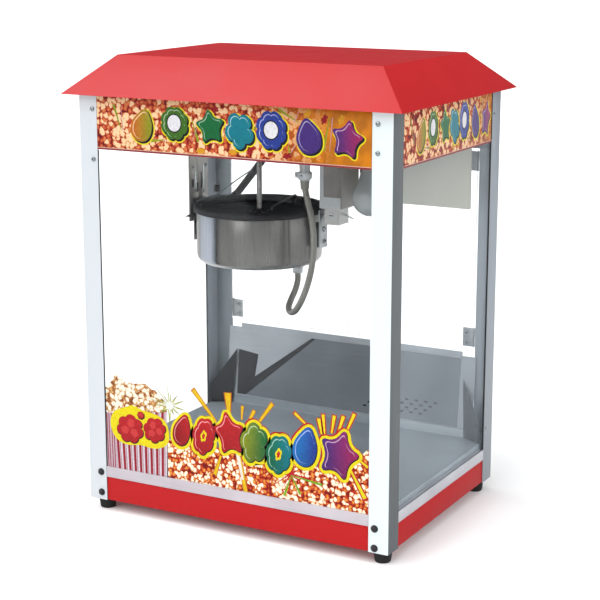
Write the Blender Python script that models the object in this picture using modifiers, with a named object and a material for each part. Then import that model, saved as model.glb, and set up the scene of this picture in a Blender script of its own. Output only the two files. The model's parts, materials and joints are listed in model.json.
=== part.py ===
"""Counter-top popcorn cart: glazed cabinet with a hipped roof, a tilting kettle and rear doors.

Metres, +Z up, customers at -Y and the operator at +Y. The origin is on the counter, under the middle.
"""

import math

import bmesh
import bpy
from mathutils import Matrix, Vector

# Driving dimensions of the cabinet
BODY_W = 0.560
BODY_D = 0.420
FOOT_H = 0.020
BASE_TOP = 0.0616
CHANNEL_TOP = 0.0804
SIGN_BOTTOM = 0.6167
POST_TOP = 0.7036
CEILING_Z = 0.7003
EAVE = (0.3024, 0.2285, 0.7041)
ROOF_TOP = (0.2375, 0.1589, 0.7649)
POST_FRONT_W = 0.0347
POST_SIDE_W = 0.0361
METAL_T = 0.0015
GLASS_T = 0.004
SHEET_T = 0.0010
GAP = 0.0003

# Driving dimensions of the kettle, its pivot and its drive
KETTLE_X = -0.066
PIVOT_Z = 0.500
DRUM_R = 0.106
DRUM_BOTTOM = 0.416
DRUM_CORNER_R = 0.012
RIM_R = 0.111
RIM_BOTTOM = 0.501
RIM_TOP = 0.511
PAN_R = 0.0995
PAN_FLOOR = 0.442
LID_TOP = 0.4985
LID_T = 0.0015
LID_HINGE_Y = 0.0065
SHAFT_R = 0.0045
COUPLING_BOTTOM = 0.6225
LID_NOTCH_R = 0.0125
PIN_R = 0.0040
PIN_BORE_R = 0.0044
EAR_T = 0.0020
EAR_TOP = 0.5120
EAR_RIGHT_BOTTOM = 0.4470
EAR_LEFT_BOTTOM = 0.4420
BLOCK = ((0.0680, -0.0200, 0.4905), (0.0950, 0.0130, 0.5190))
BLOCK_BORE_END = 0.0900
HANDLE = [
    (-0.1809, 0.0130, 0.4660),
    (-0.1809, 0.0450, 0.4805),
    (-0.1700, 0.1050, 0.5080),
    (-0.1390, 0.1560, 0.5720),
]
HANDLE_T = 0.0025
HANDLE_W = 0.0140

# Lamp, conduit and mains gland
LAMP = (0.166, -0.050)
BULB_R = 0.030
BULB_Z = 0.5465
CAP_R = 0.0130
CONDUIT_R = 0.00525
SOCKET_AT = (0.0745, -0.100)
PLUG_BOTTOM = 0.5745
GLAND_AT = (0.0075, 0.0000)
GLAND_BOTTOM = 0.4000
MAINS_AT = (-0.20, 0.65)
CONDUIT_ROUTE = [
    (0.0745, -0.1000, 0.5742),
    (0.0748, -0.1000, 0.5620),
    (0.0800, -0.1000, 0.5400),
    (0.0865, -0.1000, 0.5150),
    (0.0900, -0.1000, 0.4880),
    (0.0902, -0.1000, 0.4600),
    (0.0862, -0.0990, 0.4330),
    (0.0775, -0.0960, 0.4050),
    (0.0640, -0.0900, 0.3775),
    (0.0470, -0.0800, 0.3560),
    (0.0290, -0.0640, 0.3475),
    (0.0140, -0.0440, 0.3500),
    (0.0075, -0.0230, 0.3590),
    (0.0068, -0.0065, 0.3730),
    (0.0075, 0.0000, 0.3880),
    (0.0075, 0.0000, 0.3997),
]

# Rear opening
DOOR_BOTTOM = 0.248
DOOR_TOP = 0.598
DOOR_T = 0.003
HINGE_PIN = (0.2475, 0.2133)
HINGE_BOTTOMS = (0.2525, 0.5615)
HINGE_H = 0.0335
FASCIA_BOTTOM = 0.600
FASCIA_Y = 0.2065
SWITCH_Z = 0.655
SWITCH_XS = (0.125, 0.149, 0.173)
ROCKER_REST_DEG = 10.0
ROCKER_PIVOT_Y = 0.2083
DOOR_Y = 0.2045
DOOR_KNOB_Z = 0.545
SLOT_ROWS = 4
SLOTS_PER_ROW = 7
SLOT_PITCH = 0.0184
SLOT_ROW_DROP = 0.0076
SLOT_FIRST = (0.1780, 0.1440)
SLOT_W = 0.0070
SLOT_H = 0.0030

# Derived places
X_OUT = BODY_W / 2
Y_OUT = BODY_D / 2
X_IN = X_OUT - METAL_T
Y_IN = Y_OUT - METAL_T
X_BETWEEN = X_OUT - POST_FRONT_W
Y_BETWEEN = Y_OUT - POST_SIDE_W
GLASS_X = X_IN - GAP
GLASS_Y = Y_IN - GAP
PIVOT = Vector((KETTLE_X, 0, PIVOT_Z))
ALONG_X = Matrix(((0, 0, 1), (1, 0, 0), (0, 1, 0))).to_4x4()
ALONG_Y = Matrix.Rotation(math.radians(90), 4, "X")

COLOURS = {
    "red_paint": ((0.62, 0.03, 0.04), 0.35, 0.0),
    "aluminium": ((0.78, 0.80, 0.81), 0.32, 1.0),
    "steel": ((0.55, 0.56, 0.56), 0.30, 1.0),
    "black_coat": ((0.03, 0.03, 0.035), 0.45, 0.0),
    "rubber": ((0.02, 0.02, 0.02), 0.80, 0.0),
    "glass": ((0.85, 0.92, 0.90), 0.05, 0.0),
    "acrylic": ((0.90, 0.93, 0.93), 0.08, 0.0),
    "sign_print": ((0.75, 0.35, 0.08), 0.40, 0.0),
    "beige_paint": ((0.42, 0.41, 0.34), 0.50, 0.0),
    "porcelain": ((0.85, 0.84, 0.80), 0.30, 0.0),
    "opal_glass": ((0.75, 0.76, 0.74), 0.35, 0.0),
    "black_plastic": ((0.03, 0.03, 0.03), 0.40, 0.0),
    "red_plastic": ((0.60, 0.03, 0.03), 0.30, 0.0),
    "motor_grey": ((0.35, 0.36, 0.38), 0.45, 0.6),
}


# Scene and object helpers


def clear_scene():
    for obj in list(bpy.data.objects):
        bpy.data.objects.remove(obj, do_unlink=True)


def new_collection(name):
    collection = bpy.data.collections.new(name)
    bpy.context.scene.collection.children.link(collection)
    return collection


def material(name):
    """The Principled material of that name, made on first use."""
    made = bpy.data.materials.get(name)
    if made:
        return made
    colour, roughness, metallic = COLOURS[name]
    made = bpy.data.materials.new(name)
    made.use_nodes = True
    shader = made.node_tree.nodes["Principled BSDF"]
    shader.inputs["Base Color"].default_value = (*colour, 1)
    shader.inputs["Roughness"].default_value = roughness
    shader.inputs["Metallic"].default_value = metallic
    return made


def add(name, data, finish, origin=(0, 0, 0)):
    """A new object in the part's collection, or a helper in the other one when finish is None."""
    obj = bpy.data.objects.new(name, data)
    obj.location = origin
    if finish is None:
        helpers.objects.link(obj)
        obj.hide_render = True
        obj.display_type = "WIRE"
    else:
        parts.objects.link(obj)
        data.materials.append(material(finish))
    return obj


def finish_mesh(name, shape, finish, origin):
    """Turns a bmesh in world coordinates into an object whose origin is at the given point."""
    bmesh.ops.translate(shape, verts=shape.verts, vec=-Vector(origin))
    mesh = bpy.data.meshes.new(name)
    shape.to_mesh(mesh)
    shape.free()
    return add(name, mesh, finish, origin)


def box(name, low, high, finish, origin=(0, 0, 0)):
    shape = bmesh.new()
    bmesh.ops.create_cube(shape, size=1)
    low = Vector(low)
    high = Vector(high)
    bmesh.ops.scale(shape, verts=shape.verts, vec=high - low)
    bmesh.ops.translate(shape, verts=shape.verts, vec=(low + high) / 2)
    return finish_mesh(name, shape, finish, origin)


def rod(name, start, end, radius, finish, origin=(0, 0, 0), end_radius=None, segments=16):
    """A cylinder or a cone from start to end."""
    start = Vector(start)
    end = Vector(end)
    run = end - start
    turn = run.to_track_quat("Z", "Y").to_matrix().to_4x4()
    shape = bmesh.new()
    bmesh.ops.create_cone(
        shape,
        cap_ends=True,
        segments=segments,
        radius1=radius,
        radius2=radius if end_radius is None else end_radius,
        depth=run.length,
        matrix=Matrix.Translation((start + end) / 2) @ turn,
    )
    made = finish_mesh(name, shape, finish, origin)
    made.data.set_sharp_from_angle(angle=math.radians(35))
    return made


def prism(name, outline, start, end, finish, turn=None):
    """A flat outline swept from start to end: along Z, or along X or Y with that turn."""
    data = bpy.data.curves.new(name, "CURVE")
    data.dimensions = "2D"
    data.fill_mode = "BOTH"
    data.extrude = (end - start) / 2
    spline = data.splines.new("POLY")
    spline.points.add(len(outline) - 1)
    for point, (u, v) in zip(spline.points, outline):
        point.co = (u, v, 0, 1)
    spline.use_cyclic_u = True
    obj = add(name, data, finish)
    slide = Matrix.Translation((0, 0, (start + end) / 2))
    obj.matrix_world = (turn or Matrix.Identity(4)) @ slide
    return obj


def tube(name, points, radius, finish, resolution=2):
    data = bpy.data.curves.new(name, "CURVE")
    data.dimensions = "3D"
    data.bevel_depth = radius
    data.bevel_resolution = resolution
    data.use_fill_caps = True
    spline = data.splines.new("POLY")
    spline.points.add(len(points) - 1)
    for point, place in zip(spline.points, points):
        point.co = (*place, 1)
    return add(name, data, finish)


def turned(name, profile, centre, finish, origin=(0, 0, 0), steps=32, closed=True):
    """A profile of (radius, height) points, outer side from top to bottom, turned about a vertical axis."""
    mesh = bpy.data.meshes.new(name)
    points = [(radius, 0, height - origin[2]) for radius, height in profile]
    edges = [(i, i + 1) for i in range(len(points) - 1)]
    if closed:
        edges.append((len(points) - 1, 0))
    mesh.from_pydata(points, edges, [])
    obj = add(name, mesh, finish, (centre[0], centre[1], origin[2]))
    screw = obj.modifiers.new("turn", "SCREW")
    screw.steps = steps
    screw.render_steps = steps
    screw.use_merge_vertices = True
    screw.merge_threshold = 0.00001
    screw.use_smooth_shade = True
    return obj


def as_mesh(obj):
    """The evaluated object as a plain welded mesh in world coordinates, in place of the object."""
    bpy.context.view_layer.update()
    graph = bpy.context.evaluated_depsgraph_get()
    mesh = bpy.data.meshes.new_from_object(obj.evaluated_get(graph))
    mesh.transform(obj.matrix_world)
    shape = bmesh.new()
    shape.from_mesh(mesh)
    bmesh.ops.remove_doubles(shape, verts=shape.verts, dist=0.00001)
    bmesh.ops.recalc_face_normals(shape, faces=shape.faces)
    shape.to_mesh(mesh)
    shape.free()
    made = bpy.data.objects.new(obj.name, mesh)
    obj.users_collection[0].objects.link(made)
    made.hide_render = obj.hide_render
    made.display_type = obj.display_type
    name = obj.name
    bpy.data.objects.remove(obj, do_unlink=True)
    made.name = name
    return made


def combine(obj, operation, others):
    for other in others:
        modifier = obj.modifiers.new(other.name, "BOOLEAN")
        modifier.operation = operation
        modifier.object = other
        modifier.solver = "EXACT"


def cut(obj, *others):
    combine(obj, "DIFFERENCE", others)


def join(obj, *others):
    combine(obj, "UNION", others)


def sheet(name, faces, thickness, finish, offset=-1.0):
    """A folded sheet from its outer faces, each a list of corners that neighbours share."""
    shape = bmesh.new()
    for corners in faces:
        shape.faces.new([shape.verts.new(corner) for corner in corners])
    bmesh.ops.remove_doubles(shape, verts=shape.verts, dist=0.00001)
    bmesh.ops.recalc_face_normals(shape, faces=shape.faces)
    obj = finish_mesh(name, shape, finish, (0, 0, 0))
    modifier = obj.modifiers.new("sheet", "SOLIDIFY")
    modifier.thickness = thickness
    modifier.offset = offset
    modifier.use_even_offset = True
    return obj


def arc(centre, radius, start_deg, end_deg, count):
    """Points along an arc in a plane, both ends included."""
    steps = [start_deg + (end_deg - start_deg) * i / count for i in range(count + 1)]
    turns = [math.radians(step) for step in steps]
    return [(centre[0] + radius * math.cos(t), centre[1] + radius * math.sin(t)) for t in turns]


def mirrored(point, side):
    return (point[0] * side, *point[1:])


def span(side, near, far):
    """Low and high X of a stretch that is measured outwards from the middle on one side."""
    return (near, far) if side > 0 else (-far, -near)


SIDES = (("left", -1), ("right", 1))


# Cabinet


def build_base():
    tub = box(
        "base_tub",
        (-X_IN + GAP, -Y_IN + GAP, FOOT_H + 2 * GAP),
        (X_IN - GAP, Y_IN - GAP, BASE_TOP - GAP),
        "red_paint",
    )
    hollow = box(
        "base_hollow",
        (-X_IN + GAP + METAL_T, -Y_IN + GAP + METAL_T, FOOT_H + 2 * GAP + METAL_T),
        (X_IN - GAP - METAL_T, Y_IN - GAP - METAL_T, BASE_TOP + 0.01),
        None,
    )
    cut(tub, hollow)


def build_feet():
    for side, sx in SIDES:
        for end, sy in (("front", -1), ("rear", 1)):
            place = (0.26 * sx, 0.187 * sy)
            profile = [
                (0, FOOT_H),
                (0.0150, FOOT_H),
                (0.0150, FOOT_H - 0.004),
                (0.0128, 0.0010),
                (0.0118, 0),
                (0, 0),
            ]
            turned(f"foot_{end}_{side}", profile, place, "rubber", steps=16, closed=False)


def post_outline(sx, sy):
    """The L section of one corner post, its corner at the outside of the cabinet."""
    corners = [
        (X_OUT, Y_OUT),
        (X_BETWEEN, Y_OUT),
        (X_BETWEEN, Y_IN),
        (X_IN, Y_IN),
        (X_IN, Y_BETWEEN),
        (X_OUT, Y_BETWEEN),
    ]
    return [(x * sx, y * sy) for x, y in corners]


def hinge_lug(name, side, bottom):
    """The fixed leaf of a door hinge, riveted to the post, with its knuckle and pin."""
    half = HINGE_H / 2
    pin_x = HINGE_PIN[0] * side
    low, high = span(side, X_BETWEEN + GAP, X_BETWEEN + 0.017)
    leaf_end = (high, Y_OUT + 0.0012, bottom + half)
    leaf = box(f"{name}_leaf", (low, Y_OUT - 0.0002, bottom), leaf_end, None)
    low, high = span(side, HINGE_PIN[0] - 0.0010, HINGE_PIN[0] + 0.0040)
    web = box(f"{name}_web", (low, Y_OUT + 0.0002, bottom), (high, HINGE_PIN[1], bottom + half), None)
    start = (pin_x, HINGE_PIN[1], bottom)
    knuckle = rod(f"{name}_knuckle", start, (*start[:2], bottom + half), 0.0028, None, segments=12)
    pin_start = (pin_x, HINGE_PIN[1], bottom + half - 0.002)
    pin_end = (*start[:2], bottom + HINGE_H - 0.001)
    pin = rod(f"{name}_pin", pin_start, pin_end, 0.0014, None, segments=10)
    return leaf, web, knuckle, pin


def build_posts():
    for side, sx in SIDES:
        for end, sy in (("front", -1), ("rear", 1)):
            post = prism(f"post_{end}_{side}", post_outline(sx, sy), FOOT_H, POST_TOP, "aluminium")
            if sy < 0:
                continue
            post = as_mesh(post)
            for i, bottom in enumerate(HINGE_BOTTOMS):
                join(post, *hinge_lug(f"lug_{side}_{i}", sx, bottom))


def build_glass():
    low = (-X_IN + GLASS_T + 0.001, -GLASS_Y, BASE_TOP + 0.0024)
    high = (X_IN - GLASS_T - 0.001, -GLASS_Y + GLASS_T, CEILING_Z - GAP)
    box("glass_front", low, high, "glass")
    for side, sx in SIDES:
        x_low, x_high = span(sx, GLASS_X - GLASS_T, GLASS_X)
        low = (x_low, -GLASS_Y, BASE_TOP + 0.0024)
        box(f"glass_{side}", low, (x_high, 0.2045, CEILING_Z - GAP), "glass")


def channel_outline(outer, inward):
    """The U section that holds a pane's lower edge: outer is its outside face, inward the way in."""
    bottom = BASE_TOP + GAP
    web = bottom + METAL_T
    near = outer + inward * METAL_T
    far = near + inward * (GLASS_T + 2 * GAP)
    back = far + inward * METAL_T
    return [
        (outer, bottom),
        (outer, CHANNEL_TOP),
        (near, CHANNEL_TOP),
        (near, web),
        (far, web),
        (far, CHANNEL_TOP),
        (back, CHANNEL_TOP),
        (back, bottom),
    ]


def build_channels():
    half_x = X_BETWEEN - GAP
    half_y = Y_BETWEEN - GAP
    prism("channel_front", channel_outline(-Y_OUT, 1), -half_x, half_x, "aluminium", ALONG_X)
    for side, sx in SIDES:
        outline = channel_outline(X_OUT * sx, -sx)
        prism(f"channel_{side}", outline, -half_y, half_y, "aluminium", ALONG_Y)


def build_signs():
    half_x = X_BETWEEN - GAP
    half_y = Y_BETWEEN - GAP
    low = (-half_x, -Y_OUT, SIGN_BOTTOM)
    box("sign_front", low, (half_x, -Y_IN, POST_TOP), "sign_print")
    for side, sx in SIDES:
        x_low, x_high = span(sx, X_IN, X_OUT)
        box(f"sign_{side}", (x_low, -half_y, SIGN_BOTTOM), (x_high, half_y, POST_TOP), "sign_print")


def rectangle(half_x, half_y, height):
    corners = ((-1, -1), (1, -1), (1, 1), (-1, 1))
    return [(half_x * i, half_y * j, height) for i, j in corners]


def build_roof():
    """Hipped sheet-metal roof with a hem turned in under its eaves."""
    top = rectangle(*ROOF_TOP)
    eave = rectangle(*EAVE)
    hem = rectangle(EAVE[0] - 0.040, EAVE[1] - 0.034, EAVE[2])
    faces = [top]
    for i in range(4):
        j = (i + 1) % 4
        faces.append([eave[i], eave[j], top[j], top[i]])
        faces.append([hem[i], hem[j], eave[j], eave[i]])
    sheet("roof_shell", faces, 0.0012, "red_paint")


def build_ceiling():
    low = (-X_IN + 0.0005, -Y_IN + 0.0005, CEILING_Z)
    plate = box("ceiling_plate", low, (X_IN - 0.0005, Y_IN - 0.0005, CEILING_Z + 0.0012), "steel")
    holes = (((KETTLE_X, 0), 0.008), (SOCKET_AT, 0.006), (LAMP, 0.005))
    for i, (centre, radius) in enumerate(holes):
        below = (*centre, CEILING_Z - 0.01)
        above = (*centre, CEILING_Z + 0.01)
        cut(plate, rod(f"ceiling_hole_{i}", below, above, radius, None))


def build_floor():
    """Serving floor: a steel tray turned over, with a lip up its rear edge."""
    x, front, rear = 0.2715, -0.2015, 0.1915
    low, top, lip = 0.0640, 0.0900, 0.1050
    faces = [
        [(-x, front, top), (x, front, top), (x, rear, top), (-x, rear, top)],
        [(-x, front, low), (x, front, low), (x, front, top), (-x, front, top)],
        [(x, front, low), (x, rear, low), (x, rear, top), (x, front, top)],
        [(-x, front, low), (-x, rear, low), (-x, rear, top), (-x, front, top)],
        [(-x, rear, top), (x, rear, top), (x, rear, lip), (-x, rear, lip)],
    ]
    sheet("floor_pan", faces, SHEET_T, "steel", offset=0.0)


def slot_cutters():
    """Staggered vent slots: each row is half a pitch further left than the row above."""
    for row in range(SLOT_ROWS):
        for column in range(SLOTS_PER_ROW):
            x = SLOT_FIRST[0] - row * SLOT_PITCH / 2 - column * SLOT_PITCH
            z = SLOT_FIRST[1] - row * SLOT_ROW_DROP
            reach = SLOT_W / 2 - SLOT_H / 2
            right = arc((x + reach, z), SLOT_H / 2, -90, 90, 3)
            left = arc((x - reach, z), SLOT_H / 2, 90, 270, 3)
            yield prism(f"slot_{row}_{column}", right + left, -0.22, -0.18, None, ALONG_Y)


def build_sill():
    """Rear wall below the doors: folded sheet that leans back, with vent slots near its foot."""
    half = 0.249
    path = [(0.2072, 0.0630), (0.1935, 0.0630), (0.1935, 0.1060), (0.2065, 0.2420)]
    faces = []
    for (y0, z0), (y1, z1) in zip(path, path[1:]):
        faces.append([(-half, y0, z0), (half, y0, z0), (half, y1, z1), (-half, y1, z1)])
    sill = sheet("rear_sill", faces, SHEET_T, "steel", offset=0.0)
    for side, sx in SIDES:
        low, high = span(sx, 0.2235, 0.26)
        cut(sill, box(f"shoulder_{side}", (low, 0.19, 0.2345), (high, 0.22, 0.26), None))
    cut(sill, *[as_mesh(cutter) for cutter in slot_cutters()])


def build_guards():
    """Plates that close the corner between the rear sill and each side pane."""
    corners = [(0.2290, 0.1980, 0.1940), (0.2705, 0.1715, 0.1280), (0.2705, 0.1695, 0.0915)]
    corners.append((0.2360, 0.1875, 0.0915))
    for side, sx in SIDES:
        faces = [[mirrored(corner, sx) for corner in corners]]
        sheet(f"guard_{side}", faces, SHEET_T, "steel", offset=-1.0 * sx)


# Rear fascia, switches and doors


def build_fascia():
    """Rear top panel with the opening for the switches."""
    half = X_IN - GLASS_T - 0.001
    high = (half, FASCIA_Y + METAL_T, CEILING_Z - GAP)
    fascia = box("rear_fascia", (-half, FASCIA_Y, FASCIA_BOTTOM), high, "steel")
    low = (SWITCH_XS[0] - 0.0125, 0.19, SWITCH_Z - 0.0125)
    opening = box("switch_opening", low, (SWITCH_XS[2] + 0.0125, 0.22, SWITCH_Z + 0.0125), None)
    gland_hole = rod("gland_hole", mains_point(0.19), mains_point(0.22), 0.0062, None)
    cut(fascia, opening, gland_hole)


def mains_point(y):
    """The point of the mains gland's axis at that depth."""
    return (MAINS_AT[0], y, MAINS_AT[1])


def build_mains_gland():
    """Strain relief through which the mains lead leaves; the lead itself is not part of the model."""
    gland = rod("mains_gland", mains_point(0.1985), mains_point(0.2100), 0.0058, "black_plastic")
    nose_base = mains_point(FASCIA_Y + METAL_T + GAP)
    nose = rod("gland_nose", nose_base, mains_point(0.2240), 0.0100, None, end_radius=0.0070)
    bore = rod("gland_bore", mains_point(0.19), mains_point(0.23), 0.0036, None)
    join(gland, nose)
    cut(gland, bore)


def build_switches():
    face = FASCIA_Y + METAL_T
    low = (SWITCH_XS[0] - 0.0120, 0.1880, SWITCH_Z - 0.0120)
    high = (SWITCH_XS[2] + 0.0120, face + 0.001, SWITCH_Z + 0.0120)
    bank = box("switch_bank", low, high, "black_plastic")
    low = (SWITCH_XS[0] - 0.0145, face + GAP, SWITCH_Z - 0.0145)
    bezel = box("switch_bezel", low, (SWITCH_XS[2] + 0.0145, face + 0.0020, SWITCH_Z + 0.0145), None)
    join(bank, bezel)
    for name, x in zip(("light", "motor", "kettle"), SWITCH_XS):
        low = (x - 0.0080, face - 0.0070, SWITCH_Z - 0.0100)
        cut(bank, box(f"pocket_{name}", low, (x + 0.0080, face + 0.01, SWITCH_Z + 0.0100), None))
        rocker = prism(f"rocker_{name}", rocker_outline(), -0.0073, 0.0073, "red_plastic", ALONG_X)
        rocker = as_mesh(rocker)
        rocker.data.transform(Matrix.Rotation(math.radians(-ROCKER_REST_DEG), 4, "X"))
        rocker.location = (x, ROCKER_PIVOT_Y, SWITCH_Z)


def rocker_outline():
    """Side outline of a rocker about its pivot, its face hollowed in the middle."""
    face = arc((0.0130, 0), 0.0120, 222, 138, 6)
    return [(-0.0038, -0.0075), *face, (-0.0038, 0.0075)]


def build_switch_cover():
    """Inner cover over the switch wiring: a shallow pan that hangs over the top of the right door."""
    left, right, low, top = 0.0750, 0.2416, 0.5000, CEILING_Z - 0.0005
    face, back = 0.1775, 0.1825
    faces = [
        [(left, face, low), (right, face, low), (right, face, top), (left, face, top)],
        [(left, face, low), (left, face, top), (left, back, top), (left, back, low)],
        [(right, face, low), (right, face, top), (right, back, top), (right, back, low)],
        [(left, face, low), (right, face, low), (right, back, low), (left, back, low)],
    ]
    sheet("switch_cover", faces, SHEET_T, "beige_paint", offset=0.0)


def build_doors():
    for side, sx in SIDES:
        origin = (HINGE_PIN[0] * sx, HINGE_PIN[1], DOOR_BOTTOM)
        low, high = span(sx, 0.0015, X_BETWEEN - METAL_T)
        rear = DOOR_Y + DOOR_T
        box(f"door_{side}", (low, DOOR_Y, DOOR_BOTTOM), (high, rear, DOOR_TOP), "acrylic", origin)
        stem, stem_end, cap, tip = (
            (0.024 * sx, y, DOOR_KNOB_Z) for y in (rear + GAP, 0.2200, 0.2170, 0.2260)
        )
        knob = rod(f"door_knob_{side}", stem, stem_end, 0.0045, "black_plastic", origin)
        join(knob, rod(f"knob_cap_{side}", cap, tip, 0.0100, None, end_radius=0.0085))
        for level, bottom in zip(("lower", "upper"), HINGE_BOTTOMS):
            build_door_leaf(f"hinge_{level}_{side}", sx, bottom, origin)


def build_door_leaf(name, side, bottom, origin):
    """The moving leaf of a hinge: a plate on the door, a web round the post's edge and a knuckle."""
    face = DOOR_Y + DOOR_T + GAP
    middle = bottom + HINGE_H / 2 + GAP
    top = bottom + HINGE_H - 0.0005
    low, high = span(side, 0.2225, X_BETWEEN - 0.0005)
    leaf = box(name, (low, face, bottom), (high, face + 0.0012, bottom + HINGE_H), "steel", origin)
    low, high = span(side, X_BETWEEN - 0.0031, X_BETWEEN - GAP)
    web = box(f"{name}_web", (low, face + 0.0001, middle), (high, 0.2141, top), None)
    low, high = span(side, X_BETWEEN - 0.0011, HINGE_PIN[0])
    boss = box(f"{name}_boss", (low, 0.2113, middle), (high, 0.2141, top), None)
    start = (HINGE_PIN[0] * side, HINGE_PIN[1], middle)
    end = (*start[:2], top)
    knuckle = rod(f"{name}_knuckle", start, end, 0.0028, None, segments=12)
    bore_end = (*start[:2], top + 0.01)
    bore = rod(f"{name}_bore", (*start[:2], bottom), bore_end, 0.0018, None, segments=12)
    join(leaf, web, boss, knuckle)
    cut(leaf, bore)


# Drive and lamp under the roof


def build_gearmotor():
    base = CEILING_Z + 0.0012 + GAP
    low = (KETTLE_X - 0.024, -0.027, base)
    motor = box("gearmotor", low, (KETTLE_X + 0.056, 0.027, base + 0.022), "motor_grey")
    middle = (KETTLE_X + 0.030, 0, base + 0.021)
    can = rod("motor_can", middle, (*middle[:2], base + 0.054), 0.024, None, segments=24)
    bore = rod("output_bore", (KETTLE_X, 0, base - 0.01), (KETTLE_X, 0, base + 0.018), 0.0045, None)
    join(motor, can)
    cut(motor, bore)


def build_drive():
    """Output shaft and its slotted coupling; the slot lies along Y so the kettle can tilt out of it."""
    axis = (KETTLE_X, 0)
    rod("drive_shaft", (*axis, 0.6310), (*axis, 0.7190), 0.0040, "steel", (*axis, 0.7190))
    top = COUPLING_BOTTOM + 0.018
    low = (*axis, COUPLING_BOTTOM)
    coupling = rod("drive_coupling", low, (*axis, top), 0.0090, "steel", (*axis, 0.7190))
    socket = rod("coupling_socket", (*axis, 0.6307), (*axis, top + 0.01), 0.0043, None)
    low = (KETTLE_X - 0.0019, -0.02, COUPLING_BOTTOM - 0.01)
    slot = box("coupling_slot", low, (KETTLE_X + 0.0019, 0.02, COUPLING_BOTTOM + 0.006), None)
    cut(coupling, socket, slot)


def build_lamp():
    ceiling = CEILING_Z - GAP
    holder = [
        (0, ceiling),
        (0.0240, ceiling),
        (0.0240, 0.6920),
        (0.0120, 0.6850),
        (0.0120, 0.6560),
        (0.0175, 0.6500),
        (0.0175, 0.5970),
        (CAP_R + 0.0006, 0.5970),
        (CAP_R + 0.0006, 0.6290),
        (0, 0.6290),
    ]
    turned("lamp_holder", holder, LAMP, "porcelain", steps=24, closed=False)
    globe = arc((0, BULB_Z), BULB_R, 38, -90, 9)
    profile = [(0, 0.6240), (0.0080, 0.6240), (CAP_R, 0.6200), (CAP_R, 0.5960)]
    profile += [(0.0150, 0.5900), (0.0195, 0.5740), *globe[:-1], (0, BULB_Z - BULB_R)]
    turned("bulb", profile, LAMP, "opal_glass", steps=20, closed=False)


# Kettle


def build_kettle_shell():
    corner = (DRUM_R - DRUM_CORNER_R, DRUM_BOTTOM + DRUM_CORNER_R)
    outer = [(DRUM_R, RIM_BOTTOM - GAP)] + arc(corner, DRUM_CORNER_R, 0, -90, 4) + [(0, DRUM_BOTTOM)]
    inner = arc(corner, DRUM_CORNER_R - SHEET_T, -90, 0, 4) + [(DRUM_R - SHEET_T, RIM_BOTTOM - GAP)]
    profile = [(0, DRUM_BOTTOM + SHEET_T)] + inner + outer
    turned("kettle_shell", profile, (KETTLE_X, 0), "steel", PIVOT, steps=48, closed=False)


def build_kettle_pan():
    """Black pan with a rolled rim; its rim rests on the shell."""
    wall = PAN_R + 0.0020
    edge = 0.0040
    outer = arc((RIM_R - edge, RIM_TOP - edge), edge, 90, 0, 3)
    outer += [(RIM_R, RIM_BOTTOM), (wall, RIM_BOTTOM)]
    outer += arc((wall - 0.010, PAN_FLOOR + 0.008), 0.010, 0, -90, 3) + [(0, PAN_FLOOR - 0.002)]
    inner = [(0, PAN_FLOOR)] + arc((PAN_R - 0.008, PAN_FLOOR + 0.008), 0.008, -90, 0, 3)
    inner += [(PAN_R, RIM_TOP - 0.003), (PAN_R + 0.003, RIM_TOP)]
    turned("kettle_pan", inner + outer, (KETTLE_X, 0), "black_coat", PIVOT, steps=48, closed=False)


def build_element():
    """Heating ring that lies between the shell's floor and the pan."""
    ring = arc((0.070, 0.4330), 0.0035, 180, -180, 8)[:-1]
    turned("heating_element", ring, (KETTLE_X, 0), "steel", PIVOT, steps=32)


def build_ears():
    """Side brackets bolted to the drum, each with the pin that the kettle tilts on."""
    x = 0.0540
    low = (x, -0.0140, EAR_RIGHT_BOTTOM)
    right = box("ear_right", low, (x + EAR_T, 0.0140, EAR_TOP), "steel", PIVOT)
    low = (KETTLE_X + DRUM_R + GAP, -0.0090, EAR_RIGHT_BOTTOM + 0.004)
    spacer = box("ear_right_spacer", low, (x + 0.001, 0.0090, 0.4800), None)
    pin = rod("pin_right", (x + 0.001, 0, PIVOT_Z), (0.0860, 0, PIVOT_Z), PIN_R, None)
    join(right, spacer, pin)
    x = -0.1825
    low = (x - EAR_T, -0.0200, EAR_LEFT_BOTTOM)
    left = box("ear_left", low, (x, 0.0200, EAR_TOP), "steel", PIVOT)
    low = (x - 0.001, -0.0090, EAR_LEFT_BOTTOM + 0.004)
    spacer = box("ear_left_spacer", low, (KETTLE_X - DRUM_R - GAP, 0.0090, 0.4800), None)
    pin = rod("pin_left", (x - 0.001, 0, PIVOT_Z), (-0.1960, 0, PIVOT_Z), PIN_R, None)
    join(left, spacer, pin)


def build_stirrer():
    """Stir shaft with a flat blade near the pan's floor and a tang for the coupling at its top."""
    axis = (KETTLE_X, 0)
    low = PAN_FLOOR + 0.0015
    shaft = rod("stirrer", (*axis, low), (*axis, 0.6205), SHAFT_R, "steel", PIVOT)
    blade_low = (KETTLE_X - 0.080, -0.0045, low + 0.0003)
    blade = box("stir_blade", blade_low, (KETTLE_X + 0.080, 0.0045, low + 0.0033), None)
    tang_low = (KETTLE_X - 0.0015, -0.0040, 0.6190)
    tang = box("stir_tang", tang_low, (KETTLE_X + 0.0015, 0.0040, 0.6262), None)
    join(shaft, blade, tang)


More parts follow.
